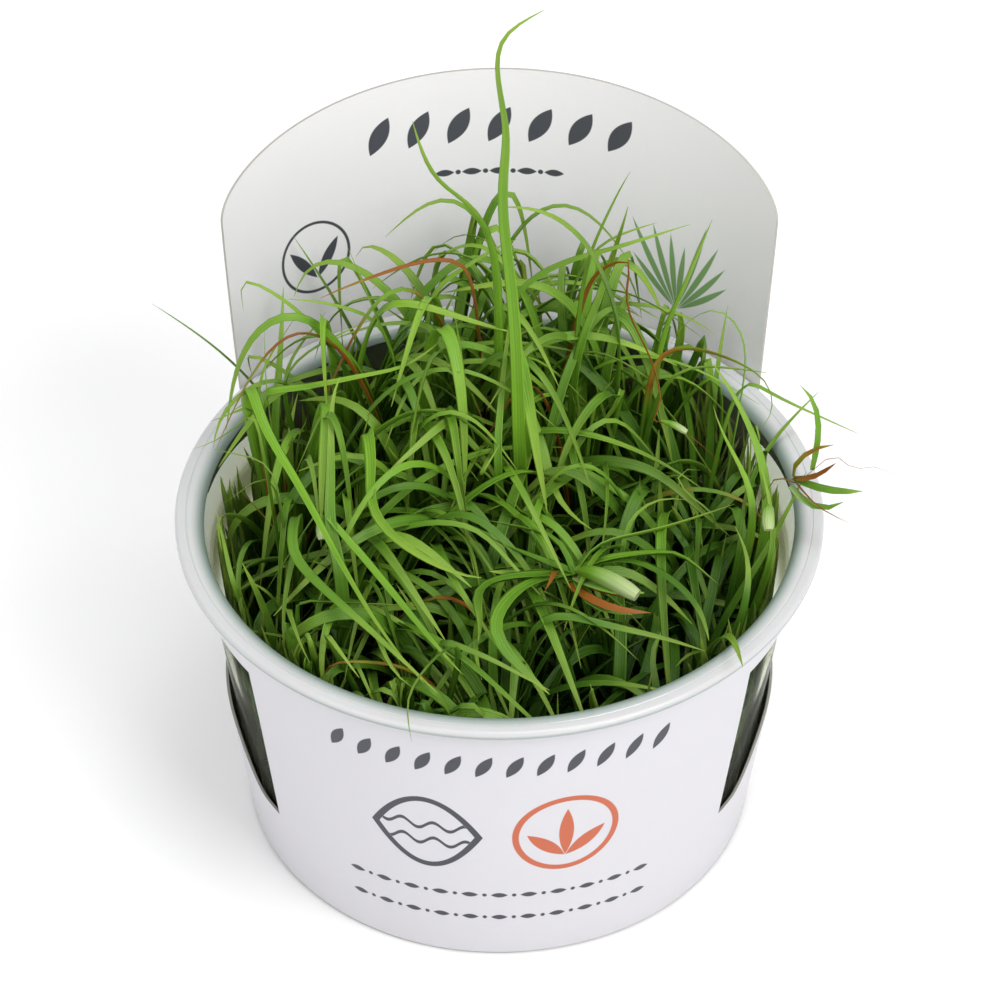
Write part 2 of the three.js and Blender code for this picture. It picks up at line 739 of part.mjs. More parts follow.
// Lays every leaf: first the placed ones, then the spare ones that fill the cup.
function layLeaves() {
  const laid = PLANTLETS.map(({ crown }, owner) => ({
    owner,
    reach: CROWN_RADIUS,
    path: [at(crown[0], crown[1], GEL_TOP), at(crown[0], crown[1], GEL_TOP + CROWN_HEIGHT)],
  }));
  const leaves = PLANTLETS.map(() => []);
  const lay = (owner, width, points, isPlaced) => {
    const places = settled(points, width, owner, laid, isPlaced);
    if (places) {
      const path = samplesOf(places, ringsFor(places));
      laid.push({ owner, reach: width / 2, path });
      leaves[owner].push({ width, path });
    }
    return Boolean(places);
  };
  PLANTLETS.forEach((plantlet, owner) => {
    for (const placed of plantlet.leaves) {
      const hasRoom = SLIDES.some((slide) => {
        const points = fullRoute(placed, plantlet.crown, footAngle(leaves[owner].length));
        points.slice(1).forEach((point) => point.addScaledVector(SLANT, slide));
        if (placed.branches) {
          points[0] = nearestOn(leaves[owner], points[0]);
        }
        return lay(owner, placed.width, points, true);
      });
      if (!hasRoom) {
        throw new Error(`leaf ${plantlet.leaves.indexOf(placed) + 1} of plantlet ${owner + 1} finds no room`);
      }
    }
  });
  const draw = drawer(SEED);
  for (let turn = 0; turn < SPARE_LEAVES; turn++) {
    PLANTLETS.forEach(({ crown }, owner) => {
      const width = 1.1 + 0.9 * draw();
      const heading = footAngle(leaves[owner].length);
      const route = spareRoute(crown, heading, draw);
      lay(owner, width, fullRoute({ route, branches: false }, crown, heading), false);
    });
  }
  return leaves;
}

// A leaf blade: three-sided, keeled below, widest a quarter of the way up and pointed at the tip.
function bladeSolid({ width, path }) {
  const last = path.length - 1;
  const along = path.map((_, i) => {
    const stretch = path[Math.min(i + 1, last)].clone().sub(path[Math.max(i - 1, 0)]);
    return stretch.normalize();
  });
  const heading = path[last].clone().sub(path[0]).setZ(0);
  let side = at(-heading.y, heading.x, 0);
  if (side.length() < 0.5) {
    side = at(1, 0, 0);
  }
  const rings = [];
  for (let i = 0; i < last; i++) {
    side.addScaledVector(along[i], -side.dot(along[i])).normalize();
    const face = side.clone().cross(along[i]);
    const half = (width / 2) * taper(i / last);
    rings.push([
      path[i].clone().addScaledVector(side, half),
      path[i].clone().addScaledVector(side, -half),
      path[i].clone().addScaledVector(face, 2 * half * KEEL),
    ]);
  }
  const corners = [];
  const triangle = (...points) => {
    for (const point of points) {
      corners.push(...point);
    }
  };
  triangle(rings[0][0], rings[0][1], rings[0][2]);
  for (let i = 1; i < rings.length; i++) {
    for (let k = 0; k < 3; k++) {
      const n = (k + 1) % 3;
      triangle(rings[i - 1][k], rings[i][k], rings[i][n]);
      triangle(rings[i - 1][k], rings[i][n], rings[i - 1][n]);
    }
  }
  for (let k = 0; k < 3; k++) {
    triangle(rings[rings.length - 1][k], path[last], rings[rings.length - 1][(k + 1) % 3]);
  }
  const geometry = new THREE.BufferGeometry();
  geometry.setAttribute("position", new THREE.Float32BufferAttribute(corners, 3));
  return solid(geometry);
}

function taper(share) {
  return share < 0.25 ? 0.75 + share : 1 - 0.62 * ((share - 0.25) / 0.75) ** 2;
}

// Plantlet: one crown with all its leaves, grown as one piece.
function plantletGeometry({ crown }, leaves) {
  let whole = crownSolid(crown);
  for (const blade of leaves) {
    whole = whole.add(bladeSolid(blade));
  }
  return geometryOf(whole);
}

// Materials
const clearPlastic = new THREE.MeshStandardMaterial({ color: 0xdfe6ea, roughness: 0.15, metalness: 0 });
const whiteCard = new THREE.MeshStandardMaterial({ color: 0xeeeef0, roughness: 0.6, metalness: 0 });
const brownGel = new THREE.MeshStandardMaterial({ color: 0x2e2416, roughness: 0.4, metalness: 0 });
const greenLeaf = new THREE.MeshStandardMaterial({ color: 0x5f9a2a, roughness: 0.5, metalness: 0 });

const model = new THREE.Group();

function put(name, geometry, material) {
  const mesh = new THREE.Mesh(geometry, material);
  mesh.name = name;
  model.add(mesh);
}

put("cup", geometryOf(solid(cupGeometry())), clearPlastic);
put("sleeve", sleeveGeometry(), whiteCard);
put("growth_gel", geometryOf(solid(gelGeometry())), brownGel);
const leaves = layLeaves();
PLANTLETS.forEach((plantlet, i) => {
  const name = `plantlet_${String(i + 1).padStart(2, "0")}`;
  put(name, plantletGeometry(plantlet, leaves[i]), greenLeaf);
});

export default model;
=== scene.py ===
"""Young lesser creeping rush plantlets in a clear culture cup with a printed card sleeve.

Sizes in the data are millimetres, and the meshes are metres. The front faces -Y."""

import math

import bmesh
import bpy
import numpy as np
from bpy.props import FloatProperty, FloatVectorProperty, IntProperty, PointerProperty
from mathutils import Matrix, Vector, noise


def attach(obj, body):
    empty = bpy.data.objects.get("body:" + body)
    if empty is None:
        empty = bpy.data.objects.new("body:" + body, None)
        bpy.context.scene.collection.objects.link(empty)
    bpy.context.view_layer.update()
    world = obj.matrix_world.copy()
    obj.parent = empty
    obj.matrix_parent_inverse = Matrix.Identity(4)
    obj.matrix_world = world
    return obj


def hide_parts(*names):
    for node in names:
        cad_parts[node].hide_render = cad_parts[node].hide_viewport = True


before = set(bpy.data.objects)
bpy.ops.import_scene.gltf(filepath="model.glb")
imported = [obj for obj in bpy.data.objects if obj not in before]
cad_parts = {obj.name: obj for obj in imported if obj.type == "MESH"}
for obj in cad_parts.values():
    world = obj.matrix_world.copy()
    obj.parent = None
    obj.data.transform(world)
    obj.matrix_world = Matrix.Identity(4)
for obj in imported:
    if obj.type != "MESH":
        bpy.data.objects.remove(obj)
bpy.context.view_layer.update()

bl_info = {
    "name": "Creeping rush culture cup",
    "version": (1, 0, 0),
    "blender": (4, 5, 0),
    "location": "View3D > Sidebar > Rush Cup",
    "description": "Builds a cup of young creeping rush plantlets in its printed sleeve",
    "category": "Add Mesh",
}

MM = 0.001
BODY = "root"

# Cup
CUP_HEIGHT = 54.8
RIM_RADIUS = 47.5
BASE_RADIUS = 37.6
TOP_RADIUS = 44.2
WALL = 1.0
FLOOR = 1.2
RIM_SHEET = 0.9
LIP_DROP = 1.2
SHOULDER = 1.9
FOOT_ROUND = 1.5
LIP = 0.8
RIM_ROUND = 0.6
CORNER_ROUND = 0.5
GROOVE_IN = 1.65
GROOVE_HALF = 0.15
GROOVE_DEPTH = 0.12
MILKY_BELOW_LIP = 0.4

# Card sleeve. Angles are degrees round the cup from the front, the left side first.
CARD = 0.4
CARD_WAVER = 0.12
CARD_FOOT = 0.4
CARD_FOOT_RADIUS = 38.4
CARD_FRONT_TOP_RADIUS = 45.5
CARD_BACK_TOP_RADIUS = 48.4
LEAN_FROM = 78
LEAN_TO = 122
WINDOW_FROM = 54
WINDOW_TO = 125.1
WINDOW_SILL = 14.5
WINDOW_HUMP = 7.5
HUMP_RISE = (5.5, 22.5)
WINDOW_HEAD = 46
BAND_TOP = 53.3
HEADER_SIDE_TOP = 80.5
HEADER_RISE = 13
HEADER_HALF_ANGLE = 51

# Growth gel and crowns
GAP = 0.3
GEL_TOP = 10
CROWN_RADIUS = 2.5
CROWN_HEIGHT = 6

# Leaves
LEAF_FOOT = GEL_TOP + GAP + 2
LONG_CLIMB = 30
LEAF_GAP = 0.36
WALL_GAP = 0.5
HEADER_FROM = 50.8
FOOT_TAPER = 0.8
RING_SPACING = 13
LEAST_RINGS = 5
SPARE_LEAVES = 3
LEAF_TURN = 2.4
SEED = 20210

# Two shafts that the leaves leave open down to the gel: low and high corner in plan
SHAFTS = (((11, 2.5), (19.5, 11)), ((-13.5, -15), (-5.5, -6.5)))

# Crossing leaves are parted along this slant, by slides and then by small moves
SLANT = np.array((0, -0.75, 0.66))
SLIDES = (0, 1.5, -1.5, 3, -3, 4.5, -4.5)
SETTLE_ROUNDS = 80
SLANT_SHARE = 0.3
MOVE_REACH = 1.5
MOVE_EXTRA = 0.15


# Plantlets: the place of each crown on the gel, and the routes of the leaves that stand out.
# A route starts above the crown, or at its own first point where the leaf branches off a stem.
def leaf(width, *route, branches=False):
    return {"width": width, "route": route, "branches": branches}


def branch(width, *route):
    return leaf(width, *route, branches=True)


def plantlet(x, y, *leaves):
    return {"crown": (x, y), "leaves": leaves}


PLANTLETS = [
    plantlet(0, -30,
        leaf(1.6, (3, -22, 55), (12, -24, 54), (20, -26, 54), (26, -28, 53.5), (29, -30, 54))),
    plantlet(16, -28),
    plantlet(27, -17,
        leaf(1.6, (36, -22, 56), (35.5, -12, 57), (34, -8, 58))),
    plantlet(32, -3,
        leaf(2, (40, -6, 57), (37.5, 2, 65), (34, 6, 71), (31, 8, 75)),
        leaf(1, (39, -3, 62), (42, -5, 63), (45, -5, 66), (48, -5, 69), (51, -5, 66), (53, -5, 67),
            (57.5, -5, 65)),
        branch(1.3, (42, -5, 63), (42, -5, 67), (45, -4, 69.5), (48, -4, 70)),
        branch(1.3, (42, -5, 63), (45, -7, 66), (48, -8, 70)),
        branch(1.3, (42, -5, 63), (47, -8, 64.5), (52, -9, 65.5)),
        branch(1.3, (42, -5, 63), (45.5, -8, 62), (50.5, -11, 61)),
        branch(1, (45, -5, 66), (46, -3, 72), (45, -1, 76), (43, 1, 77)),
        leaf(1.2, (35, -12, 57), (35, -6, 58), (36, -3, 60), (36.5, 1, 64), (36.5, 4, 67)),
        leaf(1.6, (39, -16, 56), (39.5, -8, 58), (39, -4, 60.5), (38, -1, 63)),
        leaf(1.8, (38, -8, 59), (35, -2, 63.5), (32, 3, 67), (31, 6, 69))),
    plantlet(30, 14,
        leaf(1, (35.5, 10, 66), (36, 12, 72), (35.5, 13, 77), (32, 15, 80), (29, 16, 78), (26, 17, 74),
            (25, 17, 71)),
        leaf(1.4, (34, 8, 73), (37.5, 6, 72), (43.5, 3, 71), (52, 0, 68.5))),
    plantlet(20, 26,
        leaf(1.3, (23, 20, 60), (24, 20, 71), (26.5, 19, 79), (28.5, 18, 87), (30.5, 17, 94.5)),
        leaf(1.4, (23, 13, 66), (26.5, 11, 71), (30, 10, 72.5), (39, 6, 74)),
        leaf(1.4, (22, 14, 66), (23, 15, 71), (27, 14, 74), (33.5, 9, 74), (39, 4, 75), (39.5, 2, 71),
            (38, 1, 69))),
    plantlet(6, 31,
        leaf(1.3, (9, 25, 73), (14, 25, 83), (18, 24, 86.5), (23, 24, 88.5)),
        leaf(1.6, (11, 20, 71), (13.5, 19, 82), (16.5, 17, 86.5), (19, 16, 87.5), (18, 13, 81),
            (18.5, 10.5, 73), (20.5, 9.5, 66.5), (22, 9, 63.5), (25.5, 8, 63.5), (30.5, 4, 62),
            (32, 3, 60.5)),
        leaf(3, (2.5, 18, 67.5), (3, 14, 64), (5, 10, 61.5), (7, 7, 58.5), (9, 4, 55.5),
            (11.5, 0, 53.5), (13.5, -2, 52))),
    plantlet(-9, 31),
    plantlet(-23, 23,
        leaf(1.4, (-18.5, 17, 67), (-15, 12, 64), (-10, 8, 62), (-6.5, 5, 61), (-3, 0, 59.5)),
        leaf(1.3, (-33, 13, 65), (-30, 16, 70.5), (-25.5, 20, 75)),
        leaf(1.4, (-33, 12, 65), (-30.5, 13, 70), (-27.5, 15, 72.5), (-19, 18, 75))),
    plantlet(-31, 9,
        leaf(2, (-37.5, 9, 67), (-36, 7, 72.5), (-35, 3, 71), (-32.5, -2, 68), (-28, -9, 66),
            (-20.5, -24, 60), (-13.5, -35, 57), (-9.5, -40, 56)),
        leaf(2, (-35.5, 7, 69), (-33.5, 8, 70), (-28, 8, 70.5), (-18, 10, 72), (-13.5, 10, 72.5),
            (-7.5, 14, 75.5)),
        leaf(1.2, (-35.5, 6, 64), (-35, 12, 70), (-32.5, 14, 73.5), (-29.5, 17, 77)),
        leaf(1.1, (-33.5, 6, 67.5), (-34, 10, 73), (-34, 12, 78)),
        leaf(1.1, (-34.5, 6, 69.5), (-37.5, 3, 70), (-41.5, 0, 71))),
    plantlet(-31, -7,
        leaf(1.2, (-34, 0, 69.5), (-35.5, 2, 70.5), (-38, 0, 70), (-41, -3, 69.5), (-44, -5, 70)),
        leaf(1.2, (-30.5, -8, 65), (-34, -4, 67), (-37, -4, 68), (-41, -5, 70)),
        leaf(1.2, (-38, -18, 54), (-39, -13, 56), (-41, -5, 58)),
        leaf(1.2, (-31.5, -2, 63.5), (-35.5, -4, 62.5), (-40.5, -6, 60)),
        leaf(1.8, (-28.5, -4, 61.5), (-30, -13, 60), (-29, -18, 60), (-22, -26, 59), (-17, -31, 58),
            (-8.5, -41, 56.5))),
    plantlet(-24, -21,
        leaf(2.2, (-22, -20, 56), (-23.5, -16, 61), (-24.5, -12, 63.5), (-24, -6, 67),
            (-24.5, 4, 71.5), (-23, 7, 73.5)),
        branch(1.3, (-24.5, -12, 63.5), (-19.5, -17, 60.5), (-13.5, -26, 59), (-8, -34, 57.5),
            (-5, -38, 57)),
        leaf(1.4, (-29.5, -24, 57), (-28, -24, 58), (-24, -25, 59), (-19, -25, 58.5),
            (-10.5, -26, 59)),
        leaf(2, (-30.5, -22, 57), (-29.5, -27, 58.5), (-28, -32, 57.5), (-26.5, -35, 56.5))),
    plantlet(-13, -28,
        leaf(1.6, (-25.5, -28, 57.5), (-23.5, -32, 58), (-19.5, -38, 56.5)),
        leaf(1.4, (-9.5, -30, 56), (-7.5, -32, 57.5), (-2, -35, 58), (3, -38, 57), (7, -40, 56)),
        leaf(1.1, (-4, -33, 59), (-8, -37, 61), (-11.5, -42, 60), (-13, -46, 59), (-12, -50, 55.5))),
    plantlet(4, -18),
    plantlet(16, -12,
        leaf(1.8, (8.5, -16, 50), (11, -14, 54), (13, -10, 56), (17.5, -8, 56), (23.5, -7, 56.5),
            (34, -5, 59.5)),
        branch(2, (11, -14, 54), (14, -12, 55.5), (20.5, -12, 56.5), (25, -12, 57), (27.5, -14, 57),
            (31.5, -18, 55.5)),
        branch(1.8, (11, -14, 54), (5, -14, 57.5), (-1.5, -12, 59.5)),
        branch(1.6, (11, -14, 54), (9, -9, 56.5), (5, -9, 58.5), (-1.5, -8, 59)),
        branch(1.8, (11, -14, 54), (3.5, -15, 55), (-1.5, -15, 55.5)),
        branch(2.2, (11, -14, 54), (13, -17, 55), (16, -18, 55), (18.5, -19, 54)),
        branch(1.8, (11, -14, 54), (12.5, -21, 55), (16, -22, 54.5), (19, -22, 53.5)),
        branch(2.2, (11, -14, 54), (4, -18, 57), (0.5, -24, 57.5), (-1, -29, 58), (1, -34, 57),
            (7, -41, 56)),
        branch(2.2, (11, -14, 54), (3, -17, 57), (-2, -19, 57.5), (-3.5, -23, 58), (-2.5, -27, 57.5),
            (-3, -31, 56.5)),
        branch(1.3, (11, -14, 54), (16, -12, 55.5), (21.5, -13, 55.5), (28.5, -22, 56),
            (29.5, -30, 55)),
        leaf(1.2, (17.5, -9, 52), (18.5, -4, 54.5), (21, -1, 55.5), (24, 1, 55.5), (27.5, 1, 55))),
    plantlet(24, 3,
        leaf(1, (32.5, -4, 55.5), (30, -3, 56.5), (28, -1, 57.5), (25.5, 2, 58), (27, 3, 59.5),
            (29.5, 3, 59))),
    plantlet(12, 17,
        leaf(1.8, (19, 18, 67.5), (16.5, 17, 79.5), (13.5, 15, 90.5), (9, 13, 97.5), (4.5, 12, 100.5),
            (0, 12, 100.5)),
        leaf(1.2, (11, 19, 78), (14, 17, 91), (17, 16, 100.5), (18.5, 15, 104.5)),
        leaf(1.8, (9.5, 16, 67), (12.5, 18, 77), (15, 20, 82.5), (17.5, 20, 89.5), (18.5, 20, 94.5)),
        leaf(1.4, (18.5, 17, 65.5), (18, 15.5, 62.5), (16, 15, 58.5), (13.5, 15, 56.5),
            (8.5, 14, 55.5))),
    plantlet(-1, 19,
        leaf(2, (2, 15, 75.5), (0, 14, 92), (-4, 13, 100.5), (-8, 12, 104), (-10.5, 11, 109.5),
            (-12, 10, 117)),
        leaf(1.4, (1, 20, 71.5), (2.5, 21, 77.5), (7.5, 22, 82), (13.5, 22, 84), (18, 22, 85.5),
            (27.5, 22, 89.5)),
        leaf(1.8, (5, 7, 62.5), (4, 12, 70), (2, 18, 76.5), (0, 21, 80)),
        leaf(1.5, (-3, 20, 75.5), (-4.5, 22, 82.5), (-9.5, 22, 83.5), (-15.5, 20, 83), (-23, 18, 81),
            (-26, 17, 80))),
    plantlet(-13, 17,
        leaf(2, (-11, 20, 70.5), (-10, 22, 77.5), (-5.5, 22, 81.5), (-1, 21, 86), (2.5, 20, 88.5)),
        leaf(1.2, (-14.5, 12, 67), (-15.5, 16, 71), (-17.5, 17, 75), (-20, 18, 83), (-22, 18, 89)),
        leaf(1.3, (-14.5, 18, 70.5), (-19.5, 20, 74), (-21.5, 20, 75.5), (-27, 19, 78),
            (-31, 18, 79))),
    plantlet(-21, 5,
        leaf(2.4, (-20, 6, 68), (-18.5, -1, 67), (-16.5, -6, 65), (-13.5, -11, 64), (-5.5, -21, 63),
            (-2.5, -24, 62.5))),
    plantlet(-20, -9),
    plantlet(-7, -19),
    plantlet(3, 3,
        leaf(2.2, (4.5, 3, 67), (3, 8, 87.5), (0, 10, 100.5), (1, 10, 112), (1, 10, 117),
            (-1, 10, 128), (1.5, 10, 132.5), (6, 10, 135.5)),
        leaf(1.6, (-0.5, -2, 64), (0, 4, 67), (0.5, 10, 71.5), (1.5, 15, 77), (2.5, 18, 80.5))),
    plantlet(-9, 4,
        leaf(1.4, (-5.5, 0, 63.5), (-5, 9, 68.5), (-5.5, 14, 72), (-7, 20, 78))),
]

# Radii, directions, lengths and draws


def cup_outer(z):
    return BASE_RADIUS + (TOP_RADIUS - BASE_RADIUS) * z / CUP_HEIGHT


def cup_inner(z):
    return cup_outer(z) - WALL


def smooth(low, high, value):
    share = min(1.0, max(0.0, (value - low) / (high - low)))
    return share * share * (3 - 2 * share)


def card_outer(angle, z):
    lean = smooth(LEAN_FROM, LEAN_TO, min(angle, 360 - angle))
    top = CARD_FRONT_TOP_RADIUS + (CARD_BACK_TOP_RADIUS - CARD_FRONT_TOP_RADIUS) * lean
    return CARD_FOOT_RADIUS + (top - CARD_FOOT_RADIUS) * z / CUP_HEIGHT


def around(angle, radius, z):
    """Places a point by its angle from the front, its distance from the axis and its height."""
    turn = math.radians(angle)
    return (-radius * math.sin(turn), -radius * math.cos(turn), z)


def level(angle):
    """The level direction at an angle from the X axis."""
    return np.array((math.cos(angle), math.sin(angle), 0))


def metres(*sizes):
    return [MM * size for size in sizes]


def drawer(seed):
    """A repeatable draw of numbers from 0 to 1."""
    state = seed
    while True:
        state = (state * 48271) % 2147483647
        yield state / 2147483647


def swing(draw, width):
    """A drawn number that lies evenly to both sides of zero, over the width given."""
    return width * (next(draw) - 0.5)


# Leaf routes


def kept(point, margin):
    """Keeps a point of a leaf inside the cup, over the rim, off the header and out of the shafts."""
    x, y, z = point
    radius = math.hypot(x, y)
    angle = math.degrees(math.atan2(-x, -y)) % 360
    over_rim = CUP_HEIGHT + margin
    allowed = radius
    if z < CUP_HEIGHT - 1:
        allowed = min(allowed, cup_inner(z) - margin)
    elif z < over_rim and radius > cup_inner(CUP_HEIGHT) - margin:
        z = over_rim
    if z > HEADER_FROM and min(angle, 360 - angle) > WINDOW_TO - 4:
        allowed = min(allowed, card_outer(angle, z) - CARD - margin)
    if allowed < radius:
        x *= allowed / radius
        y *= allowed / radius
    for low, high in SHAFTS:
        depth, along_x, along_y = min(
            (x - (low[0] - margin), -1, 0),
            (high[0] + margin - x, 1, 0),
            (y - (low[1] - margin), 0, -1),
            (high[1] + margin - y, 0, 1),
            key=lambda way: way[0],
        )
        if depth > 0:
            x += depth * along_x
            y += depth * along_y
    return np.array((x, y, z))


def draw_in(place, radius):
    """Moves a place to within a distance of the cup's axis."""
    place[:2] *= min(1, radius / math.hypot(*place[:2]))


def samples_of(points, count):
    """Points along a smooth curve through the given ones, at even steps of its parameter."""
    padded = np.vstack((2 * points[0] - points[1], points, 2 * points[-1] - points[-2]))
    place = np.linspace(0, len(points) - 1, count + 1)
    start = np.minimum(place.astype(int), len(points) - 2)
    t = (place - start)[:, None]
    p0, p1, p2, p3 = (padded[start + i] for i in range(4))
    v1 = (p2 - p0) / 2
    v2 = (p3 - p1) / 2
    return p1 + v1 * t + (3 * (p2 - p1) - 2 * v1 - v2) * t**2 + (2 * (p1 - p2) + v1 + v2) * t**3


def path_of(points):
    """The places of a leaf's rings along its route."""
    length = np.linalg.norm(np.diff(points, axis=0), axis=1).sum()
    return samples_of(points, max(LEAST_RINGS, math.floor(length / RING_SPACING + 0.5) + 1))


def worst_clash(path, reach, owner, laid):
    """The worst place where a new leaf comes too near a leaf or crown of another plantlet."""
    keep = laid["owner"] != owner
    b0, b1, other = laid["from"][keep], laid["to"][keep], laid["reach"][keep]
    a0, a1 = path[:-1, None], path[1:, None]
    need = np.full(len(path) - 1, reach)
    need[0] *= FOOT_TAPER
    need = need[:, None] + other[None] + LEAF_GAP
    u = a1 - a0
    v = (b1 - b0)[None]
    w = a0 - b0[None]
    uu, uv, vv = (u * u).sum(2), (u * v).sum(2), (v * v).sum(2)
    uw, vw = (u * w).sum(2), (v * w).sum(2)
    square = uu * vv - uv * uv
    flat = square <= 1e-9
    s = np.where(flat, 0.5, np.clip((uv * vw - vv * uw) / np.where(flat, 1, square), 0, 1))
    t = np.clip((uv * s + vw) / vv, 0, 1)
    s = np.clip((uv * t - uw) / uu, 0, 1)
    apart = w + u * s[..., None] - v * t[..., None]
    short = need - np.linalg.norm(apart, axis=2)
    i, j = np.unravel_index(np.argmax(short), short.shape)
    if short[i, j] <= 0:
        return None
    return short[i, j], apart[i, j], (i + s[i, j]) / (len(path) - 1)


def move(points, share, shift):
    """Moves a leaf's points near a share of its length, and leaves its foot in place."""
    place = share * (len(points) - 1)
    weight = np.maximum(0, 1 - abs(np.arange(len(points)) - place) / MOVE_REACH)
    weight[0] = 0
    points += weight[:, None] * shift


def inside_walls(points, reach):
    """Moves a leaf's points off the walls, and says whether it was clear of them already."""
    path = path_of(points)
    last = len(path) - 1
    clear = True
    for quarter in range(4, 4 * last + 1):
        share = quarter / 4
        end = math.ceil(share)
        place = path[end - 1] + (path[end] - path[end - 1]) * (share - end + 1)
        shift = kept(place, reach + WALL_GAP) - place
        if np.linalg.norm(shift) > 0.02:
            clear = False
            move(points, share / last, 1.1 * shift)
    return clear


def settled(points, width, owner, laid, is_placed):
    """Moves the points of a leaf until it is clear of the cup and of other plantlets' leaves.
    Gives back the settled points, or None where the leaf finds no room."""
    for turn in range(SETTLE_ROUNDS):
        if not inside_walls(points, width / 2):
            continue
        path = path_of(points)
        clash = worst_clash(path, width / 2, owner, laid)
        if clash is None:
            return points
        short, apart, share = clash
        slants = is_placed and share > SLANT_SHARE and turn < SETTLE_ROUNDS / 2
        way = SLANT if slants else apart / np.linalg.norm(apart)
        side = -1 if way.dot(apart) < 0 else 1
        move(points, share, way * side * (short + MOVE_EXTRA))
    return None


def spare_route(crown, facing, draw):
    """A leaf that nobody placed by hand: it leaves the crown at its own heading and lean, and bends
    over. Leaves at the back of the cup grow taller than those at the front."""
    x, y = crown
    heading = facing + swing(draw, 0.8)
    curl = swing(draw, math.radians(60))
    lean = math.radians(3 + 12 * next(draw))
    bend = math.radians(15 + 70 * next(draw))
    length = (56 + 0.3 * y) * (0.75 + 0.4 * next(draw))
    steps = 5
    tip = np.array((x, y, LEAF_FOOT), float)
    route = []
    for i in range(1, steps + 1):
        share = i / steps
        angle = lean + bend * share**2
        turn = heading + curl * share
        step = (math.cos(turn) * math.sin(angle), math.sin(turn) * math.sin(angle), math.cos(angle))
        tip = tip + np.array(step) * length / steps
        route.append(tip)
    return route


def full_route(placed, crown, angle):
    """The whole route of a leaf, from inside its crown, or inside the stem it branches from. A leaf
    with a long climb to its first placed point goes up steeply before it leans over."""
    points = np.array(placed["route"], float)
    if placed["branches"]:
        return points
    foot = np.array((*crown, LEAF_FOOT)) + CROWN_RADIUS * 0.5 * level(angle)
    climb = points[0][2] - foot[2]
    if climb <= LONG_CLIMB:
        return np.vstack((foot, points))
    rise = foot + 0.25 * (points[0] - foot)
    rise[2] = foot[2] + 0.4 * climb
    return np.vstack((foot, rise, points))


def nearest_on(leaves, place):
    """The point of the leaves already laid that is nearest to a place."""
    best = None
    for blade in leaves:
        path = blade["path"]
        for a, b in zip(path[:-1], path[1:]):
            along = b - a
            share = min(1, max(0, (place - a).dot(along) / along.dot(along)))
            found = a + share * along
            if best is None or np.linalg.norm(found - place) < np.linalg.norm(best - place):
                best = found
    return best


def lay_leaves():
    """Lays every leaf that the solids have: the placed ones, then the spare ones."""
    count = len(PLANTLETS)
    crowns = np.array([p["crown"] for p in PLANTLETS], float)
    laid = {
        "owner": np.arange(count),
        "reach": np.full(count, float(CROWN_RADIUS)),
        "from": np.column_stack((crowns, np.full(count, float(GEL_TOP)))),
        "to": np.column_stack((crowns, np.full(count, float(GEL_TOP + CROWN_HEIGHT)))),
    }
    leaves = [[] for _ in PLANTLETS]

    def lay(owner, width, points, is_placed):
        places = settled(points, width, owner, laid, is_placed)
        if places is None:
            return False
        path = path_of(places)
        steps = len(path) - 1
        laid["owner"] = np.append(laid["owner"], np.full(steps, owner))
        laid["reach"] = np.append(laid["reach"], np.full(steps, width / 2))
        laid["from"] = np.vstack((laid["from"], path[:-1]))
        laid["to"] = np.vstack((laid["to"], path[1:]))
        leaves[owner].append({"width": width, "points": places, "path": path})
        return True

    def find_room(owner, placed):
        for slide in SLIDES:
            points = full_route(placed, PLANTLETS[owner]["crown"], len(leaves[owner]) * LEAF_TURN)
            points[1:] += SLANT * slide
            if placed["branches"]:
                points[0] = nearest_on(leaves[owner], points[0])
            if lay(owner, placed["width"], points, True):
                return
        raise RuntimeError(f"a leaf of plantlet {owner + 1} finds no room")

    for owner, plant in enumerate(PLANTLETS):
        for placed in plant["leaves"]:
            find_room(owner, placed)
    draw = drawer(SEED)
    for _ in range(SPARE_LEAVES):
        for owner, plant in enumerate(PLANTLETS):
            width = 1.1 + 0.9 * next(draw)
            facing = len(leaves[owner]) * LEAF_TURN
            route = spare_route(plant["crown"], facing, draw)
            spare = {"route": route, "branches": False}
            lay(owner, width, full_route(spare, plant["crown"], facing), False)
    return leaves


# Shader and geometry nodes


class Graph:
    """Adds nodes to a tree, and links or sets their inputs."""

    def __init__(self, tree):
        self.tree = tree

    def add(self, kind, inputs=None, **settings):
        node = self.tree.nodes.new(kind)
        for name, value in settings.items():
            setattr(node, name, value)
        for name, value in (inputs or {}).items():
            self.feed(node.inputs[name], value)
        return node

    def feed(self, socket, value):
        if isinstance(value, Field):
            value = value.socket
        if isinstance(value, bpy.types.NodeSocket):
            self.tree.links.new(value, socket)
        else:
            socket.default_value = value

    def math(self, operation, *values, clamp=False):
        node = self.add("ShaderNodeMath", operation=operation, use_clamp=clamp)
        for socket, value in zip(node.inputs, values):
            self.feed(socket, value)
        return Field(self, node.outputs[0])

    def mix(self, factor, first, second):
        node = self.add("ShaderNodeMix", data_type="RGBA")
        self.feed(node.inputs[0], factor)
        self.feed(node.inputs[6], first)
        self.feed(node.inputs[7], second)
        return node.outputs[2]

    def noise(self, place, scale, detail=2.0):
        node = self.add("ShaderNodeTexNoise", {"Vector": place, "Scale": scale, "Detail": detail})
        return Field(self, node.outputs[0])

    def attribute(self, name):
        return Field(self, self.add("ShaderNodeAttribute", attribute_name=name).outputs["Fac"])

    def own_place(self):
        """The place on the piece, in its own coordinates."""
        return self.add("ShaderNodeTexCoord").outputs["Object"]

    def axes(self, place):
        """The three coordinates of a place."""
        return [Field(self, axis) for axis in self.add("ShaderNodeSeparateXYZ", {0: place}).outputs]

    def vector(self, x=0.0, y=0.0, z=0.0):
        return self.add("ShaderNodeCombineXYZ", {"X": x, "Y": y, "Z": z}).outputs[0]

    def bump(self, height, strength, distance):
        node = self.add("ShaderNodeBump", {"Height": height, "Strength": strength, "Distance": distance})
        return node.outputs[0]


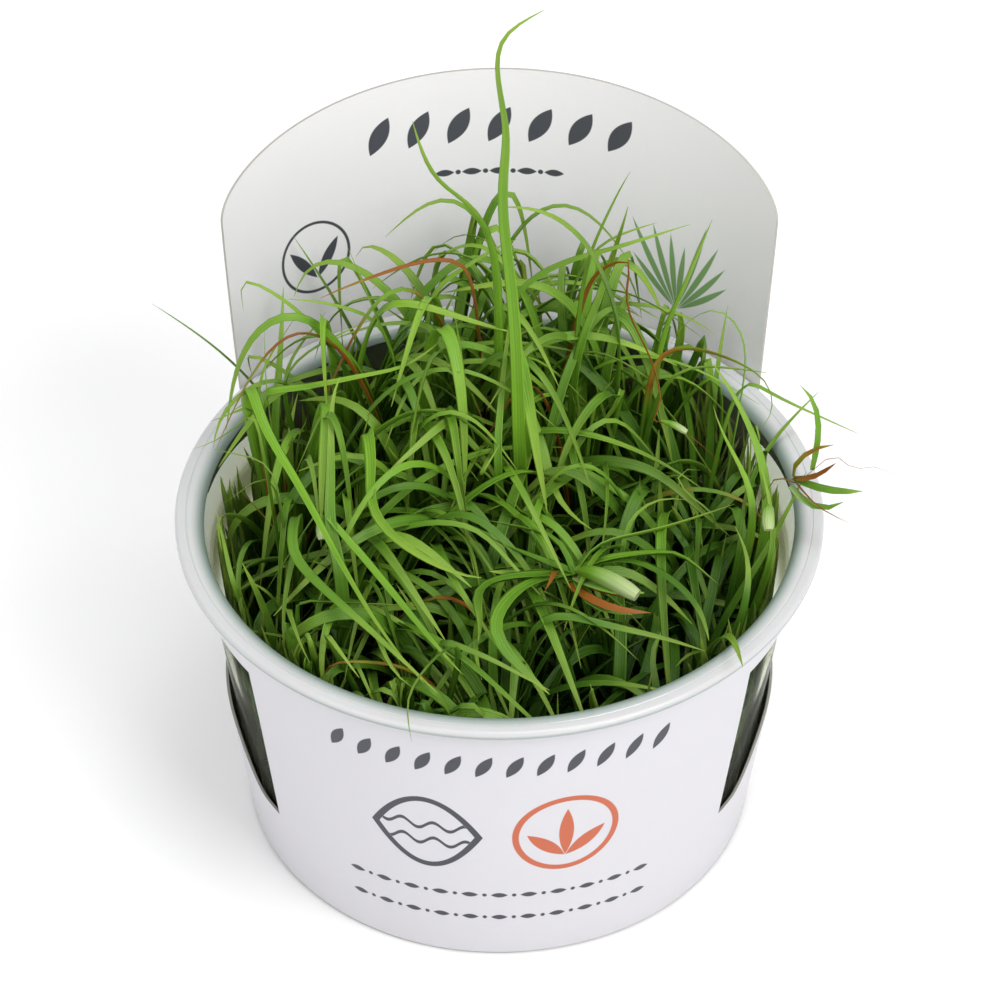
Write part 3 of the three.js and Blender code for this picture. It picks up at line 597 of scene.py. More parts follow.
class Field:
    """A number that changes over the surface. Sums and products of fields are Math nodes."""

    def __init__(self, graph, socket):
        self.graph = graph
        self.socket = socket

    def spread(self, low, high):
        """Maps the number from its low to its high end onto 0 to 1."""
        node = self.graph.add("ShaderNodeMapRange", {"Value": self, "From Min": low, "From Max": high})
        return Field(self.graph, node.outputs[0])

    def sine(self):
        return self.graph.math("SINE", self)

    def __add__(self, other):
        return self.graph.math("ADD", self, other)

    def __sub__(self, other):
        return self.graph.math("SUBTRACT", self, other)

    def __rsub__(self, other):
        return self.graph.math("SUBTRACT", other, self)

    def __mul__(self, other):
        return self.graph.math("MULTIPLY", self, other)

    def __abs__(self):
        return self.graph.math("ABSOLUTE", self)

    __radd__ = __add__
    __rmul__ = __mul__


def opaque(rgb):
    return (*rgb, 1.0)


def new_material(name, finish):
    """A material with one Principled shader, and the graph and shader to build its looks on."""
    material = bpy.data.materials.new(name)
    material.use_nodes = True
    material.node_tree.nodes.clear()
    graph = Graph(material.node_tree)
    shader = graph.add("ShaderNodeBsdfPrincipled", finish)
    output = graph.add("ShaderNodeOutputMaterial")
    graph.feed(output.inputs["Surface"], shader.outputs[0])
    return material, graph, shader


def new_group(name, inputs, outputs):
    """A shader node group, with its graph, its input sockets and its output sockets."""
    kinds = {"number": "NodeSocketFloat", "colour": "NodeSocketColor", "place": "NodeSocketVector"}
    tree = bpy.data.node_groups.new(name, "ShaderNodeTree")
    for socket, kind in inputs.items():
        tree.interface.new_socket(socket, in_out="INPUT", socket_type=kinds[kind])
    for socket, kind in outputs.items():
        tree.interface.new_socket(socket, in_out="OUTPUT", socket_type=kinds[kind])
    graph = Graph(tree)
    source = graph.add("NodeGroupInput").outputs
    sink = graph.add("NodeGroupOutput").inputs
    return graph, source, sink


def use_group(graph, name, values):
    node = graph.add("ShaderNodeGroup", node_tree=bpy.data.node_groups[name])
    for socket, value in values.items():
        graph.feed(node.inputs[socket], value)
    return node.outputs


def make_mottle_group():
    """Faint cloudy changes of tone with a fine grain, for card, plastic, gel, roots and floor."""
    inputs = {"Place": "place", "Tone": "colour", "Clouds": "number", "Grain": "number", "Amount": "number"}
    graph, source, sink = new_group("Mottle", inputs, {"Tone": "colour", "Height": "number"})
    cloud = graph.noise(source["Place"], source["Clouds"], 3.0)
    grain = graph.noise(source["Place"], source["Grain"])
    change = (cloud + grain * 0.4 - 0.7) * Field(graph, source["Amount"]) + 1.0
    shade = graph.add("ShaderNodeVectorMath", {0: source["Tone"], "Scale": change}, operation="SCALE")
    graph.feed(sink["Tone"], shade.outputs[0])
    graph.feed(sink["Height"], grain)


def mottle(graph, rgb, clouds, grain, amount):
    """A colour made mottled, and its grain's height, on the piece's own coordinates."""
    values = {"Place": graph.own_place(), "Tone": rgb, "Clouds": clouds, "Grain": grain, "Amount": amount}
    outputs = use_group(graph, "Mottle", values)
    return outputs["Tone"], outputs["Height"]


def coat(graph, shader, tone, height, relief, depth=0.0002):
    """Feeds a shader its colour, and a height as its fine relief."""
    graph.feed(shader.inputs["Base Color"], tone)
    graph.feed(shader.inputs["Normal"], graph.bump(height, relief, depth))


def mottled_material(name, finish, rgb, clouds, grain, amount, relief, depth):
    """A material of one mottled colour, with its grain in relief."""
    material, graph, shader = new_material(name, finish)
    coat(graph, shader, *mottle(graph, opaque(rgb), clouds, grain, amount), relief, depth)
    return material


# Print on the card: each shape is a mask from 0 to 1, drawn in millimetres to the right and up

SOFT_EDGE = 0.14


def within(distance, limit):
    """1 where a distance is under its limit, with a soft edge."""
    return distance.graph.math("MULTIPLY", limit - distance, 1 / SOFT_EDGE, clamp=True)


def distance_from(x, y):
    return x.graph.math("SQRT", x * x + y * y)


def disc(x, y, radius):
    return within(distance_from(x, y), radius)


def hoop(x, y, radius, stroke):
    return within(abs(distance_from(x, y) - radius), stroke / 2)


def turned(x, y, degrees):
    """The same place in a drawing turned clockwise by an angle."""
    cos, sin = math.cos(math.radians(degrees)), math.sin(math.radians(degrees))
    return x * cos - y * sin, x * sin + y * cos


def pointed_leaf(x, y, half_width, length):
    """A leaf that stands on the origin, pointed at both ends."""
    share = y * (2 / length) - 1.0
    return within(abs(x), (1.0 - share * share) * half_width)


def any_of(whole, *masks):
    for mask in masks:
        whole = whole.graph.math("MAXIMUM", whole, mask)
    return whole


def in_row(x, count, spacing, shape):
    """Repeats a shape along a row, centred on the origin."""
    offset = 0.5 * spacing if count % 2 == 0 else 0.0
    step = x.graph.math("ROUND", (x - offset) * (1 / spacing))
    inside = within(abs(x), count * spacing / 2)
    return inside * shape(x - offset - step * spacing)


def leaf_row(x, y, count, spacing, half_width, length, slant):
    """A row of slanted leaves, as a border."""

    def one(local):
        along, up = turned(local, y, slant)
        return pointed_leaf(along, up + length / 2, half_width, length)

    return in_row(x, count, spacing, one)


def bead_row(x, y, count, spacing):
    """A row of small lying leaves with a dot between each two."""
    seeds = in_row(x, count, spacing, lambda local: pointed_leaf(y, local + 1.5, 0.62, 3.0))
    dots = in_row(x, count - 1, spacing, lambda local: disc(local, y, 0.45))
    return any_of(seeds, dots)


def sprout_mark(x, y):
    """Three leaves in a ring."""
    leaves = []
    for degrees, length in ((-48, 8.5), (0, 11), (48, 8.5)):
        leaves.append(pointed_leaf(*turned(x, y + 5.2, -degrees), 1.25, length))
    return any_of(hoop(x, y, 8.0, 1.2), *leaves)


def ripple_mark(x, y):
    """A pointed oval that holds two ripples."""
    outer = pointed_leaf(y, x + 9.0, 8.2, 18.0)
    inner = pointed_leaf(y, x + 7.7, 7.1, 15.4)
    wave = (x * 1.25).sine() * 0.8
    ripples = [within(abs(y - wave - height), 0.45) for height in (-2.0, 1.6)]
    return any_of(outer * (1.0 - inner), inner * any_of(*ripples))


def new_print(name, masks):
    """A node group for a print: its graph, the places to the right and up, and the masks to feed."""
    inputs = {"Right": "number", "Up": "number"}
    graph, source, sink = new_group(name, inputs, dict.fromkeys(masks, "number"))
    return graph, Field(graph, source["Right"]), Field(graph, source["Up"]), sink


def make_front_print():
    """The front panel: a border of leaves, two marks and two lines of beads."""
    graph, x, y, sink = new_print("Front print", ("Dark", "Warm"))
    border = leaf_row(x, y - 45.0, count=12, spacing=4.5, half_width=1.0, length=5.4, slant=28)
    lines = [bead_row(x, y - height, count=11, spacing=4.9) for height in (14.6, 9.2)]
    graph.feed(sink["Dark"], any_of(border, ripple_mark(x + 11.5, y - 28.5), *lines))
    graph.feed(sink["Warm"], sprout_mark(x - 10.5, y - 28.5))


def make_header_print():
    """The header: a border of leaves, a line of beads, a ring mark and a printed tuft, with faint
    short rules lower down, behind the leaves. Its Shade mask is painted shade, not print."""
    graph, x, y, sink = new_print("Header print", ("Dark", "Leafy", "Faint", "Shade"))
    border = leaf_row(x, y - 84.5, count=7, spacing=5.6, half_width=1.35, length=6.6, slant=28)
    line = bead_row(x, y - 76.8, count=5, spacing=3.9)
    mark_x, mark_y = x + 28.5, y - 68.0
    veins = [pointed_leaf(*turned(mark_x, mark_y + 3.6, turn), 0.9, 7.2) for turn in (-35, 35)]
    blades = []
    for i in range(9):
        along, up = turned(x - 28.5, y - 59.0, 56 - 14 * i)
        bend = up * up * (0.012 * (i - 4) / 4)
        blades.append(pointed_leaf(along - bend, up, 0.55, 11.0 + 5.0 * ((i * 5) % 4) / 3))
    rules = []
    for i in range(5):
        dashes = (x * (1.9 + 0.37 * i) + 1.7 * i).sine()
        rules.append(within(abs(y - 29.0 - 3.6 * i), 0.5) * dashes.spread(-0.55, -0.35))
    graph.feed(sink["Dark"], any_of(border, line, hoop(mark_x, mark_y, 5.6, 0.6), *veins))
    graph.feed(sink["Leafy"], any_of(*blades))
    # Painted shade on the card's inner side: a tenth at the top, nearly full low down behind the cup
    graph.feed(sink["Shade"], y.spread(62.0, 95.0) * 0.1 + y.spread(57.0, 49.0) * 0.9)
    graph.feed(sink["Faint"], any_of(*rules) * within(abs(x + 21.0), 10.5))


# Sizes and colours that a user would change


def tint(name, description, rgb):
    return FloatVectorProperty(
        name=name, description=description, default=rgb, size=3, min=0, max=1, subtype="COLOR"
    )


def tally(name, description, default, least=0):
    return IntProperty(name=name, description=description, default=default, min=least)


def measure(name, description, default, **limits):
    return FloatProperty(name=name, description=description, default=default, **limits)


class CupSettings(bpy.types.PropertyGroup):
    segments: tally("Segments", "Steps round the cup", 144, least=24)
    clear_tint: tint("Clear tint", "Colour of the clear wall, high up", (0.42, 0.47, 0.38))
    # Painted shade: the clear wall is darker low down, where the inside of the cup lies in shade
    low_shade_tint: tint("Low shade tint", "Colour of the clear wall, low down", (0.40, 0.39, 0.27))
    window_tint: tint("Window tint", "Colour of the clear wall by the windows", (0.72, 0.76, 0.62))
    # Painted shadow on the clear wall just under the card band
    band_shadow_tint: tint("Band shadow tint", "Colour of the clear wall just under the band", (0.15, 0.17, 0.085))
    rim_tint: tint("Rim", "Colour of the thick milky rim", (0.55, 0.56, 0.565))
    # Painted shade: the leaves' shaded green seen through the rim's clear rounded inner edge
    painted_shoulder_tint: tint("Shoulder", "Colour of the rim's rounded inner edge", (0.23, 0.30, 0.27))
    # Painted shadow at the foot of the lip, where it overhangs the card
    lip_shadow_tint: tint("Lip", "Colour of the shaded foot of the lip", (0.27, 0.33, 0.32))


class SleeveSettings(bpy.types.PropertyGroup):
    # The front and the header are one card: the header's inner side is painted lighter than the front, as
    # painted light
    card_tint: tint("Card", "Colour of the card's front", (0.61, 0.60, 0.63))
    header_painted_light_tint: tint("Header", "Colour of the card's inner side, high up", (0.79, 0.78, 0.795))
    edge_tint: tint("Cut edge", "Colour of the card's cut edge", (0.40, 0.385, 0.35))
    # Painted shade on the card's inner side, low down inside the cup
    painted_shade_tint: tint("Inner side", "Colour of the card's inner side, low down", (0.62, 0.585, 0.50))
    ink_tint: tint("Dark ink", "Colour of the dark print", (0.03, 0.034, 0.046))
    warm_tint: tint("Warm ink", "Colour of the orange print", (0.50, 0.10, 0.032))
    leafy_tint: tint("Green ink", "Colour of the printed tuft", (0.13, 0.30, 0.06))
    step: measure("Step", "Facets' width in degrees", 1.5, min=0.5)


class GelSettings(bpy.types.PropertyGroup):
    gel_tint: tint("Gel", "Colour of the growth gel", (0.035, 0.024, 0.012))
    swell: measure("Swell", "Unevenness of the gel's top", 0.0003, unit="LENGTH", min=0)


class LeafSettings(bpy.types.PropertyGroup):
    outer: tally("Outer", "Leaves of a side plantlet by the wall", 20)
    pressed: tally("Pressed", "Its leaves pressed to the wall", 24)
    arching: tally("Arching", "Broad leaves added to a plantlet", 17)
    upright: tally("Upright", "Standing leaves added to a plantlet", 6)
    thin: tally("Thin", "Thin leaves added to a plantlet", 4)
    spacing: measure("Spacing", "Length of a facet", 0.002, unit="LENGTH")
    fold: measure("Fold", "Depth of a leaf's keel to its half width", 0.5)
    thickness: measure("Thickness", "Thickness to half width", 0.16)
    # Bright and Dark are mixed by each leaf's own tone and by its height: lower leaves are darker as painted
    # shade
    bright_tint: tint("Bright", "Colour of a young leaf", (0.165, 0.352, 0.020))
    dark_tint: tint("Dark", "Colour of an old leaf", (0.013, 0.062, 0.006))
    tip_tint: tint("Tip", "Colour of a leaf's tip", (0.30, 0.42, 0.06))
    sheath_tint: tint("Sheath", "Colour of a leaf's foot", (0.50, 0.56, 0.30))
    russet_tint: tint("Russet", "Colour of a reddened leaf", (0.27, 0.052, 0.008))


class RootSettings(bpy.types.PropertyGroup):
    roots: tally("Roots", "Roots of each plantlet", 6)
    root_tint: tint("Root", "Colour of the roots", (0.55, 0.46, 0.32))


class StageSettings(bpy.types.PropertyGroup):
    distance: measure("Distance", "Camera to cup", 0.6, unit="LENGTH")
    elevation: measure("Elevation", "Camera's height above the horizon", math.radians(41.6), subtype="ANGLE")
    lens: measure("Lens", "Focal length in millimetres", 147.7)
    ambient: measure("Ambient", "Strength of the soft light all round", 0.62)
    floor_tint: tint("Floor", "Colour of the floor", (0.97, 0.97, 0.97))


class RushCupSettings(bpy.types.PropertyGroup):
    cup: PointerProperty(type=CupSettings)
    sleeve: PointerProperty(type=SleeveSettings)
    gel: PointerProperty(type=GelSettings)
    leaves: PointerProperty(type=LeafSettings)
    roots: PointerProperty(type=RootSettings)
    stage: PointerProperty(type=StageSettings)


# Meshes


def linked(name, data):
    """An object in the scene that holds the data."""
    item = bpy.data.objects.new(name, data)
    bpy.context.scene.collection.objects.link(item)
    return item


def new_piece(name, points, faces, materials=(), edges=()):
    """A mesh object at the origin, from points in millimetres."""
    mesh = bpy.data.meshes.new(name)
    mesh.from_pydata([metres(*point) for point in points], edges, faces)
    for material in materials:
        mesh.materials.append(material)
    return linked(name, mesh)


def smooth_shaded(piece, degrees=35):
    piece.data.shade_smooth()
    bpy.context.view_layer.objects.active = piece
    piece.select_set(True)
    bpy.ops.object.shade_smooth_by_angle(angle=math.radians(degrees))
    piece.select_set(False)


def outward(piece):
    """Merges doubled points and turns a closed mesh's faces outward."""
    shape = bmesh.new()
    shape.from_mesh(piece.data)
    bmesh.ops.remove_doubles(shape, verts=shape.verts, dist=1e-7)
    bmesh.ops.recalc_face_normals(shape, faces=shape.faces)
    shape.to_mesh(piece.data)
    shape.free()


def arc(centre, radius, start, end, steps=5):
    """Profile points on an arc, in degrees from the outward direction."""
    turns = [math.radians(start + (end - start) * i / steps) for i in range(steps + 1)]
    return [(centre[0] + radius * math.cos(t), centre[1] + radius * math.sin(t)) for t in turns]


def turned_mesh(profile, segments):
    """Points and faces of a profile of (radius, height) pairs turned about the Z axis. The profile
    starts and ends on the axis."""
    rings = profile[1:-1]
    points = [(0, 0, profile[0][1])]
    for radius, z in rings:
        points += [around(360 * i / segments, radius, z) for i in range(segments)]
    points.append((0, 0, profile[-1][1]))
    faces = []
    for i in range(segments):
        n = (i + 1) % segments
        faces.append((0, 1 + n, 1 + i))
        for ring in range(len(rings) - 1):
            low, high = 1 + ring * segments, 1 + (ring + 1) * segments
            faces.append((low + i, low + n, high + n, high + i))
        top = 1 + (len(rings) - 1) * segments
        faces.append((top + i, top + n, len(points) - 1))
    return points, faces


def keep_piece(piece, slot, *nodes):
    """Hands a finished piece to the frame: it rides on the body and stands for its nodes."""
    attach(piece, BODY)
    if nodes:
        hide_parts(*nodes)


# Cup


def cup_profile():
    under = CUP_HEIGHT - RIM_SHEET
    lip_foot = CUP_HEIGHT - LIP_DROP
    foot = FOOT_ROUND
    shoulder_foot = CUP_HEIGHT - SHOULDER
    mouth = cup_inner(CUP_HEIGHT)
    bead = LIP / 4
    corner = CORNER_ROUND
    groove = RIM_RADIUS - GROOVE_IN
    return [
        (0, 0),
        (BASE_RADIUS / 2, 0),
        *arc((cup_outer(foot) - foot, foot), foot, -90, 0),
        (cup_outer(CUP_HEIGHT / 2), CUP_HEIGHT / 2),
        *arc((cup_outer(under) + corner, under - corner), corner, 180, 90),
        *arc((RIM_RADIUS - LIP - bead, under - bead), bead, 90, 0, 2),
        *arc((RIM_RADIUS - LIP + bead, lip_foot + bead), bead, 180, 270, 2),
        *arc((RIM_RADIUS - bead, lip_foot + bead), bead, -90, 0, 2),
        *arc((RIM_RADIUS - RIM_ROUND, CUP_HEIGHT - RIM_ROUND), RIM_ROUND, 0, 90),
        (groove + GROOVE_HALF, CUP_HEIGHT),
        (groove, CUP_HEIGHT - GROOVE_DEPTH),
        (groove - GROOVE_HALF, CUP_HEIGHT),
        *arc((mouth + SHOULDER, shoulder_foot), SHOULDER, 90, 180, 7),
        (cup_inner(CUP_HEIGHT / 2), CUP_HEIGHT / 2),
        *arc((cup_inner(FLOOR + foot) - foot, FLOOR + foot), foot, 0, -90),
        (0, FLOOR),
    ]


# Where each tint of the plastic begins and where it is full: heights, distances from the cup's middle
# plane or its axis, and places from its middle to its front
# Heights of the painted shade that darkens the wall low down
LOW_SHADE_HEIGHTS = metres(52, 42)
WINDOW_REACH = metres(26, 34)
WINDOW_HEIGHTS = metres(WINDOW_HEAD + 1.5, WINDOW_HEAD - 0.5)
# Heights of the painted shadow just under the band
BAND_SHADOW_HEIGHTS = metres(WINDOW_HEAD - 11, WINDOW_HEAD - 4)
# Radii of the painted shade on the rim's rounded inner edge
PAINTED_SHOULDER_RADII = metres(TOP_RADIUS + 0.9, TOP_RADIUS - 0.6)
# Heights of the painted shadow at the lip's foot
LIP_SHADOW_HEIGHTS = metres(CUP_HEIGHT - LIP_DROP + 0.75, CUP_HEIGHT - LIP_DROP + 0.35)
FRONT_PLACES = metres(0, -45)

# How much further out the shoulder's painted shade reaches at the front
PAINTED_SHOULDER_SHIFT = 1.1 * MM


def clear_plastic(settings):
    finish = {"Roughness": 0.05, "IOR": 1.015, "Transmission Weight": 0.97}
    material, graph, shader = new_material("Clear plastic", finish)
    x, _, z = graph.axes(graph.own_place())
    # Painted shade: the wall is darker low down, except by the windows, where it stays clearer
    low_shade = z.spread(*LOW_SHADE_HEIGHTS)
    by_window = abs(x).spread(*WINDOW_REACH) * z.spread(*WINDOW_HEIGHTS)
    # Painted shadow on the wall by the windows, just under the card band
    band_shadow = by_window * z.spread(*BAND_SHADOW_HEIGHTS)
    tone = graph.mix(low_shade, opaque(settings.clear_tint), opaque(settings.low_shade_tint))
    tone = graph.mix(by_window, tone, opaque(settings.window_tint))
    tone = graph.mix(band_shadow, tone, opaque(settings.band_shadow_tint))
    graph.feed(shader.inputs["Base Color"], mottle(graph, tone, clouds=60.0, grain=900.0, amount=0.1)[0])
    return material


def milky_plastic(settings):
    finish = {
        "Roughness": 0.3,
        "IOR": 1.46,
        "Coat Weight": 0.35,
        "Coat Roughness": 0.15,
        "Subsurface Weight": 0.15,
        "Subsurface Scale": 0.002,
    }
    material, graph, shader = new_material("Milky plastic rim", finish)
    tone, grain = mottle(graph, opaque(settings.rim_tint), clouds=40.0, grain=1200.0, amount=0.06)
    x, y, z = graph.axes(graph.own_place())
    # Painted shade on the rim's rounded inner edge: the leaves' shaded green seen through it, further out at
    # the front
    shifted = distance_from(x, y) - y.spread(*FRONT_PLACES) * PAINTED_SHOULDER_SHIFT
    inner = shifted.spread(*PAINTED_SHOULDER_RADII)
    # Painted shadow along the foot of the lip
    low = z.spread(*LIP_SHADOW_HEIGHTS)
    tone = graph.mix(inner * 0.9, tone, opaque(settings.painted_shoulder_tint))
    tone = graph.mix(low * (1.0 - inner) * 0.9, tone, opaque(settings.lip_shadow_tint))
    coat(graph, shader, tone, grain, relief=0.06)
    return material


class RUSHCUP_OT_cup(bpy.types.Operator):
    """Makes the clear cup with its milky rim"""

    bl_idname = "rushcup.cup"
    bl_label = "Cup"

    def execute(self, context):
        settings = context.scene.rush_cup.cup
        points, faces = turned_mesh(cup_profile(), settings.segments)
        materials = [clear_plastic(settings), milky_plastic(settings)]
        piece = new_piece("culture_cup", points, faces, materials)
        outward(piece)
        rim_foot = MM * (CUP_HEIGHT - LIP_DROP - MILKY_BELOW_LIP)
        for polygon in piece.data.polygons:
            polygon.material_index = int(polygon.center.z > rim_foot)
        smooth_shaded(piece)
        keep_piece(piece, "clear_plastic", "cup")
        return {"FINISHED"}


# Sleeve

# Sides of the card, which are its materials too, and two of the bands that its rows are grouped in
OUTER_SIDE, INNER_SIDE, CUT_EDGE = range(3)
WINDOW_BAND = 1
HEADER_BAND = 3

# Rows of cells in each band: up to the sill, to the window's head, to the band's top and up the header
CARD_ROWS = (9, 12, 3, 14)

# Millimetres to one unit of the map that the prints are drawn on
MAP_UNIT = 100

# A cell that is wider than this in the drawing lies across the seam where its two ends meet
SEAM_JUMP = 100


def sleeve_columns(step):
    """The card's columns from the front round to the front again: the angle of each, and for those
    of the header how far along its half ellipse they stand."""

    def between(start, end):
        count = math.ceil((end - start) / step)
        return [start + (end - start) * i / count for i in range(count)]

    half = [(angle, None) for angle in between(0, WINDOW_FROM) + between(WINDOW_FROM, WINDOW_TO)]
    steps = math.ceil((180 - WINDOW_TO) / step)
    for i in range(steps + 1):
        turn = math.pi / 2 * (1 - i / steps)
        half.append((180 - (180 - WINDOW_TO) * math.sin(turn), turn))
    mirrored = [(360 - angle, turn) for angle, turn in half[-2:0:-1]]
    return half + mirrored


def sleeve_places(column):
    """The angle and height of each point of a column, up the card."""
    angle, turn = column
    from_front = min(angle, 360 - angle)
    from_edge = min(from_front - WINDOW_FROM, WINDOW_TO - from_front)
    sill = WINDOW_SILL + WINDOW_HUMP * smooth(*HUMP_RISE, from_edge)
    stops = [(angle, CARD_FOOT), (angle, sill), (angle, WINDOW_HEAD), (angle, BAND_TOP)]
    if turn is None:
        stops.append((angle, BAND_TOP))
    else:
        side = -1 if angle > 180 else 1
        top_angle = 180 - side * HEADER_HALF_ANGLE * math.sin(turn)
        stops.append((top_angle, HEADER_SIDE_TOP + HEADER_RISE * math.cos(turn)))
    places = [stops[0]]
    for (low, high), count in zip(zip(stops, stops[1:]), CARD_ROWS):
        for i in range(1, count + 1):
            share = i / count
            places.append(tuple(a + (b - a) * share for a, b in zip(low, high)))
    return places


def is_card(column, following, band):
    """Whether the card covers the cell between two columns, in the band of rows given."""
    middle = (column[0] + (following[0] or 360)) / 2
    from_front = min(middle, 360 - middle)
    if band == WINDOW_BAND:
        return from_front < WINDOW_FROM or from_front > WINDOW_TO
    return band < HEADER_BAND or from_front > WINDOW_TO


def sleeve_mesh(step):
    """Points, faces, the side of each face, and the place of each point in the drawings: millimetres
    right and up from the middle of the front for an outer point, or of the header for an inner one."""
    bands = [band for band, count in enumerate(CARD_ROWS) for _ in range(count)]
    columns = sleeve_columns(step)
    count = len(columns)
    points, drawn = [], []
    for column in columns:
        for angle, z in sleeve_places(column):
            waver = CARD_WAVER * noise.noise(Vector(around(angle, 1.6, z * 0.04)))
            radius = card_outer(angle, z) + waver
            points += [around(angle, radius, z), around(angle, radius - CARD, z)]
            turn = math.radians(angle)
            front = -turn if angle < 180 else 2 * math.pi - turn
            drawn += [(front * CARD_FRONT_TOP_RADIUS, z), ((turn - math.pi) * CARD_BACK_TOP_RADIUS, z)]
    height = len(bands) + 1
    faces, sides = [], []

    def corner(i, j):
        return 2 * ((i % count) * height + j)

    def is_there(i, j):
        return 0 <= j < len(bands) and is_card(columns[i % count], columns[(i + 1) % count], bands[j])

    def add(side, *corners):
        faces.append(corners)
        sides.append(side)

    for i in range(count):
        for j in range(len(bands)):
            if not is_there(i, j):
                continue
            outer = [corner(*place) for place in ((i, j), (i, j + 1), (i + 1, j + 1), (i + 1, j))]
            inner = [index + 1 for index in outer]
            add(OUTER_SIDE, *outer)
            add(INNER_SIDE, *reversed(inner))
            edges = (((i, j - 1), 0, 3), ((i, j + 1), 2, 1), ((i - 1, j), 1, 0), ((i + 1, j), 3, 2))
            for beyond, a, b in edges:
                if not is_there(*beyond):
                    add(CUT_EDGE, outer[a], outer[b], inner[b], inner[a])
    return points, faces, sides, drawn


def card(name, tint_of_card, print_group, inks):
    """Coated card: faintly mottled, with the inks of a print laid over it by their masks."""
    finish = {"Roughness": 0.42, "Specular IOR Level": 0.4}
    material, graph, shader = new_material(name, finish)
    tone, grain = mottle(graph, opaque(tint_of_card), clouds=25.0, grain=1500.0, amount=0.05)
    right, up, _ = graph.axes(graph.add("ShaderNodeUVMap", uv_map="Drawing").outputs[0])
    masks = use_group(graph, print_group, {"Right": right * MAP_UNIT, "Up": up * MAP_UNIT})
    for mask, ink, strength in inks:
        tone = graph.mix(Field(graph, masks[mask]) * strength, tone, opaque(ink))
    coat(graph, shader, tone, grain, relief=0.08)
    return material


class RUSHCUP_OT_sleeve(bpy.types.Operator):
    """Makes the printed card sleeve"""

    bl_idname = "rushcup.sleeve"
    bl_label = "Sleeve"

    def execute(self, context):
        settings = context.scene.rush_cup.sleeve
        make_front_print()
        make_header_print()
        points, faces, sides, drawn = sleeve_mesh(settings.step)
        ink = settings.ink_tint
        front_inks = (("Dark", ink, 0.98), ("Warm", settings.warm_tint, 0.98))
        header_inks = (
            # The Shade mask lays painted shade, not ink
            ("Shade", settings.painted_shade_tint, 1.0),
            ("Dark", ink, 0.96),
            ("Leafy", settings.leafy_tint, 0.9),
            ("Faint", ink, 0.5),
        )
        edge = mottled_material(
            "Card cut edge", {"Roughness": 0.8}, settings.edge_tint,
            clouds=200.0, grain=2500.0, amount=0.25, relief=0.3, depth=0.0002,
        )
        materials = [
            card("Card front", settings.card_tint, "Front print", front_inks),
            # The same card as the front, painted lighter as painted light
            card("Card header", settings.header_painted_light_tint, "Header print", header_inks),
            edge,
        ]
        piece = new_piece("printed_sleeve", points, faces, materials)
        mesh = piece.data
        mesh.polygons.foreach_set("material_index", sides)
        drawing = mesh.uv_layers.new(name="Drawing")
        for polygon in mesh.polygons:
            places = [drawn[index] for index in polygon.vertices]
            furthest = max(right for right, up in places)
            for i, (right, up) in zip(polygon.loop_indices, places):
                if furthest - right > SEAM_JUMP:
                    right = furthest
                drawing.data[i].uv = (right / MAP_UNIT, up / MAP_UNIT)
        smooth_shaded(piece)
        keep_piece(piece, "printed_card", "sleeve")
        return {"FINISHED"}


# Growth gel

GEL_SEGMENTS = 72
GEL_TOP_MARGIN = 0.1
SWELL_SCALE = 120


class RUSHCUP_OT_gel(bpy.types.Operator):
    """Makes the dark growth gel at the bottom of the cup"""

    bl_idname = "rushcup.gel"
    bl_label = "Growth gel"

    def execute(self, context):
        settings = context.scene.rush_cup.gel
        foot = FLOOR + GAP
        round_foot = foot + FOOT_ROUND
        edge = cup_inner(GEL_TOP) - GAP
        profile = [
            (0, foot),
            (cup_inner(foot) - FOOT_ROUND - GAP, foot),
            (cup_inner(round_foot) - GAP, round_foot),
            (edge, GEL_TOP),
            (edge * 0.98, GEL_TOP),
            *[(edge * tenth / 10, GEL_TOP) for tenth in range(9, 0, -1)],
            (0, GEL_TOP),
        ]
        points, faces = turned_mesh(profile, GEL_SEGMENTS)
        material = mottled_material(
            "Growth gel", {"Roughness": 0.22, "Coat Weight": 0.5, "Coat Roughness": 0.08}, settings.gel_tint,
            clouds=120.0, grain=700.0, amount=0.5, relief=0.3, depth=0.0005,
        )
        piece = new_piece("gel_bed", points, faces, [material])
        outward(piece)
        for vertex in piece.data.vertices:
            if vertex.co.z > MM * (GEL_TOP - GEL_TOP_MARGIN):
                vertex.co.z -= settings.swell * (1 + noise.noise(vertex.co * SWELL_SCALE))
        smooth_shaded(piece)
        keep_piece(piece, "growth_gel", "growth_gel")
        return {"FINISHED"}


# Blades: a node tree sweeps a folded cross-section along each route

SHEATH_HEIGHT = 7.5
SHEATH_WIDTH = 3.2
SHEATHS = 5

# Heights where a leaf's painted shade lifts and its green is full, and where its pale foot begins and is
# full
LEAF_SHADE_HEIGHTS = metres(28, 66)
PALE_HEIGHTS = metres(22, 12)

ROUND_SECTION = {"Ring spacing": 0.0006, "Fold": 0.0, "Thickness": 1.0, "Sides": 10}
FACING_TWIST = 1.2
EXTRA_TWIST = 0.4
OUTER_FROM = 19
WALL_STEPS = 7
EASING_SAMPLES = 3
EASING_ROUNDS = 5

# Kinds of added leaves, with their narrowest and widest in millimetres
ADDED_WIDTHS = {
    "arching": (1.2, 2.5),
    "upright": (1.1, 2.0),
    "thin": (0.6, 1.0),
    "outer": (1.4, 2.4),
    "pressed": (1.6, 2.6),
}


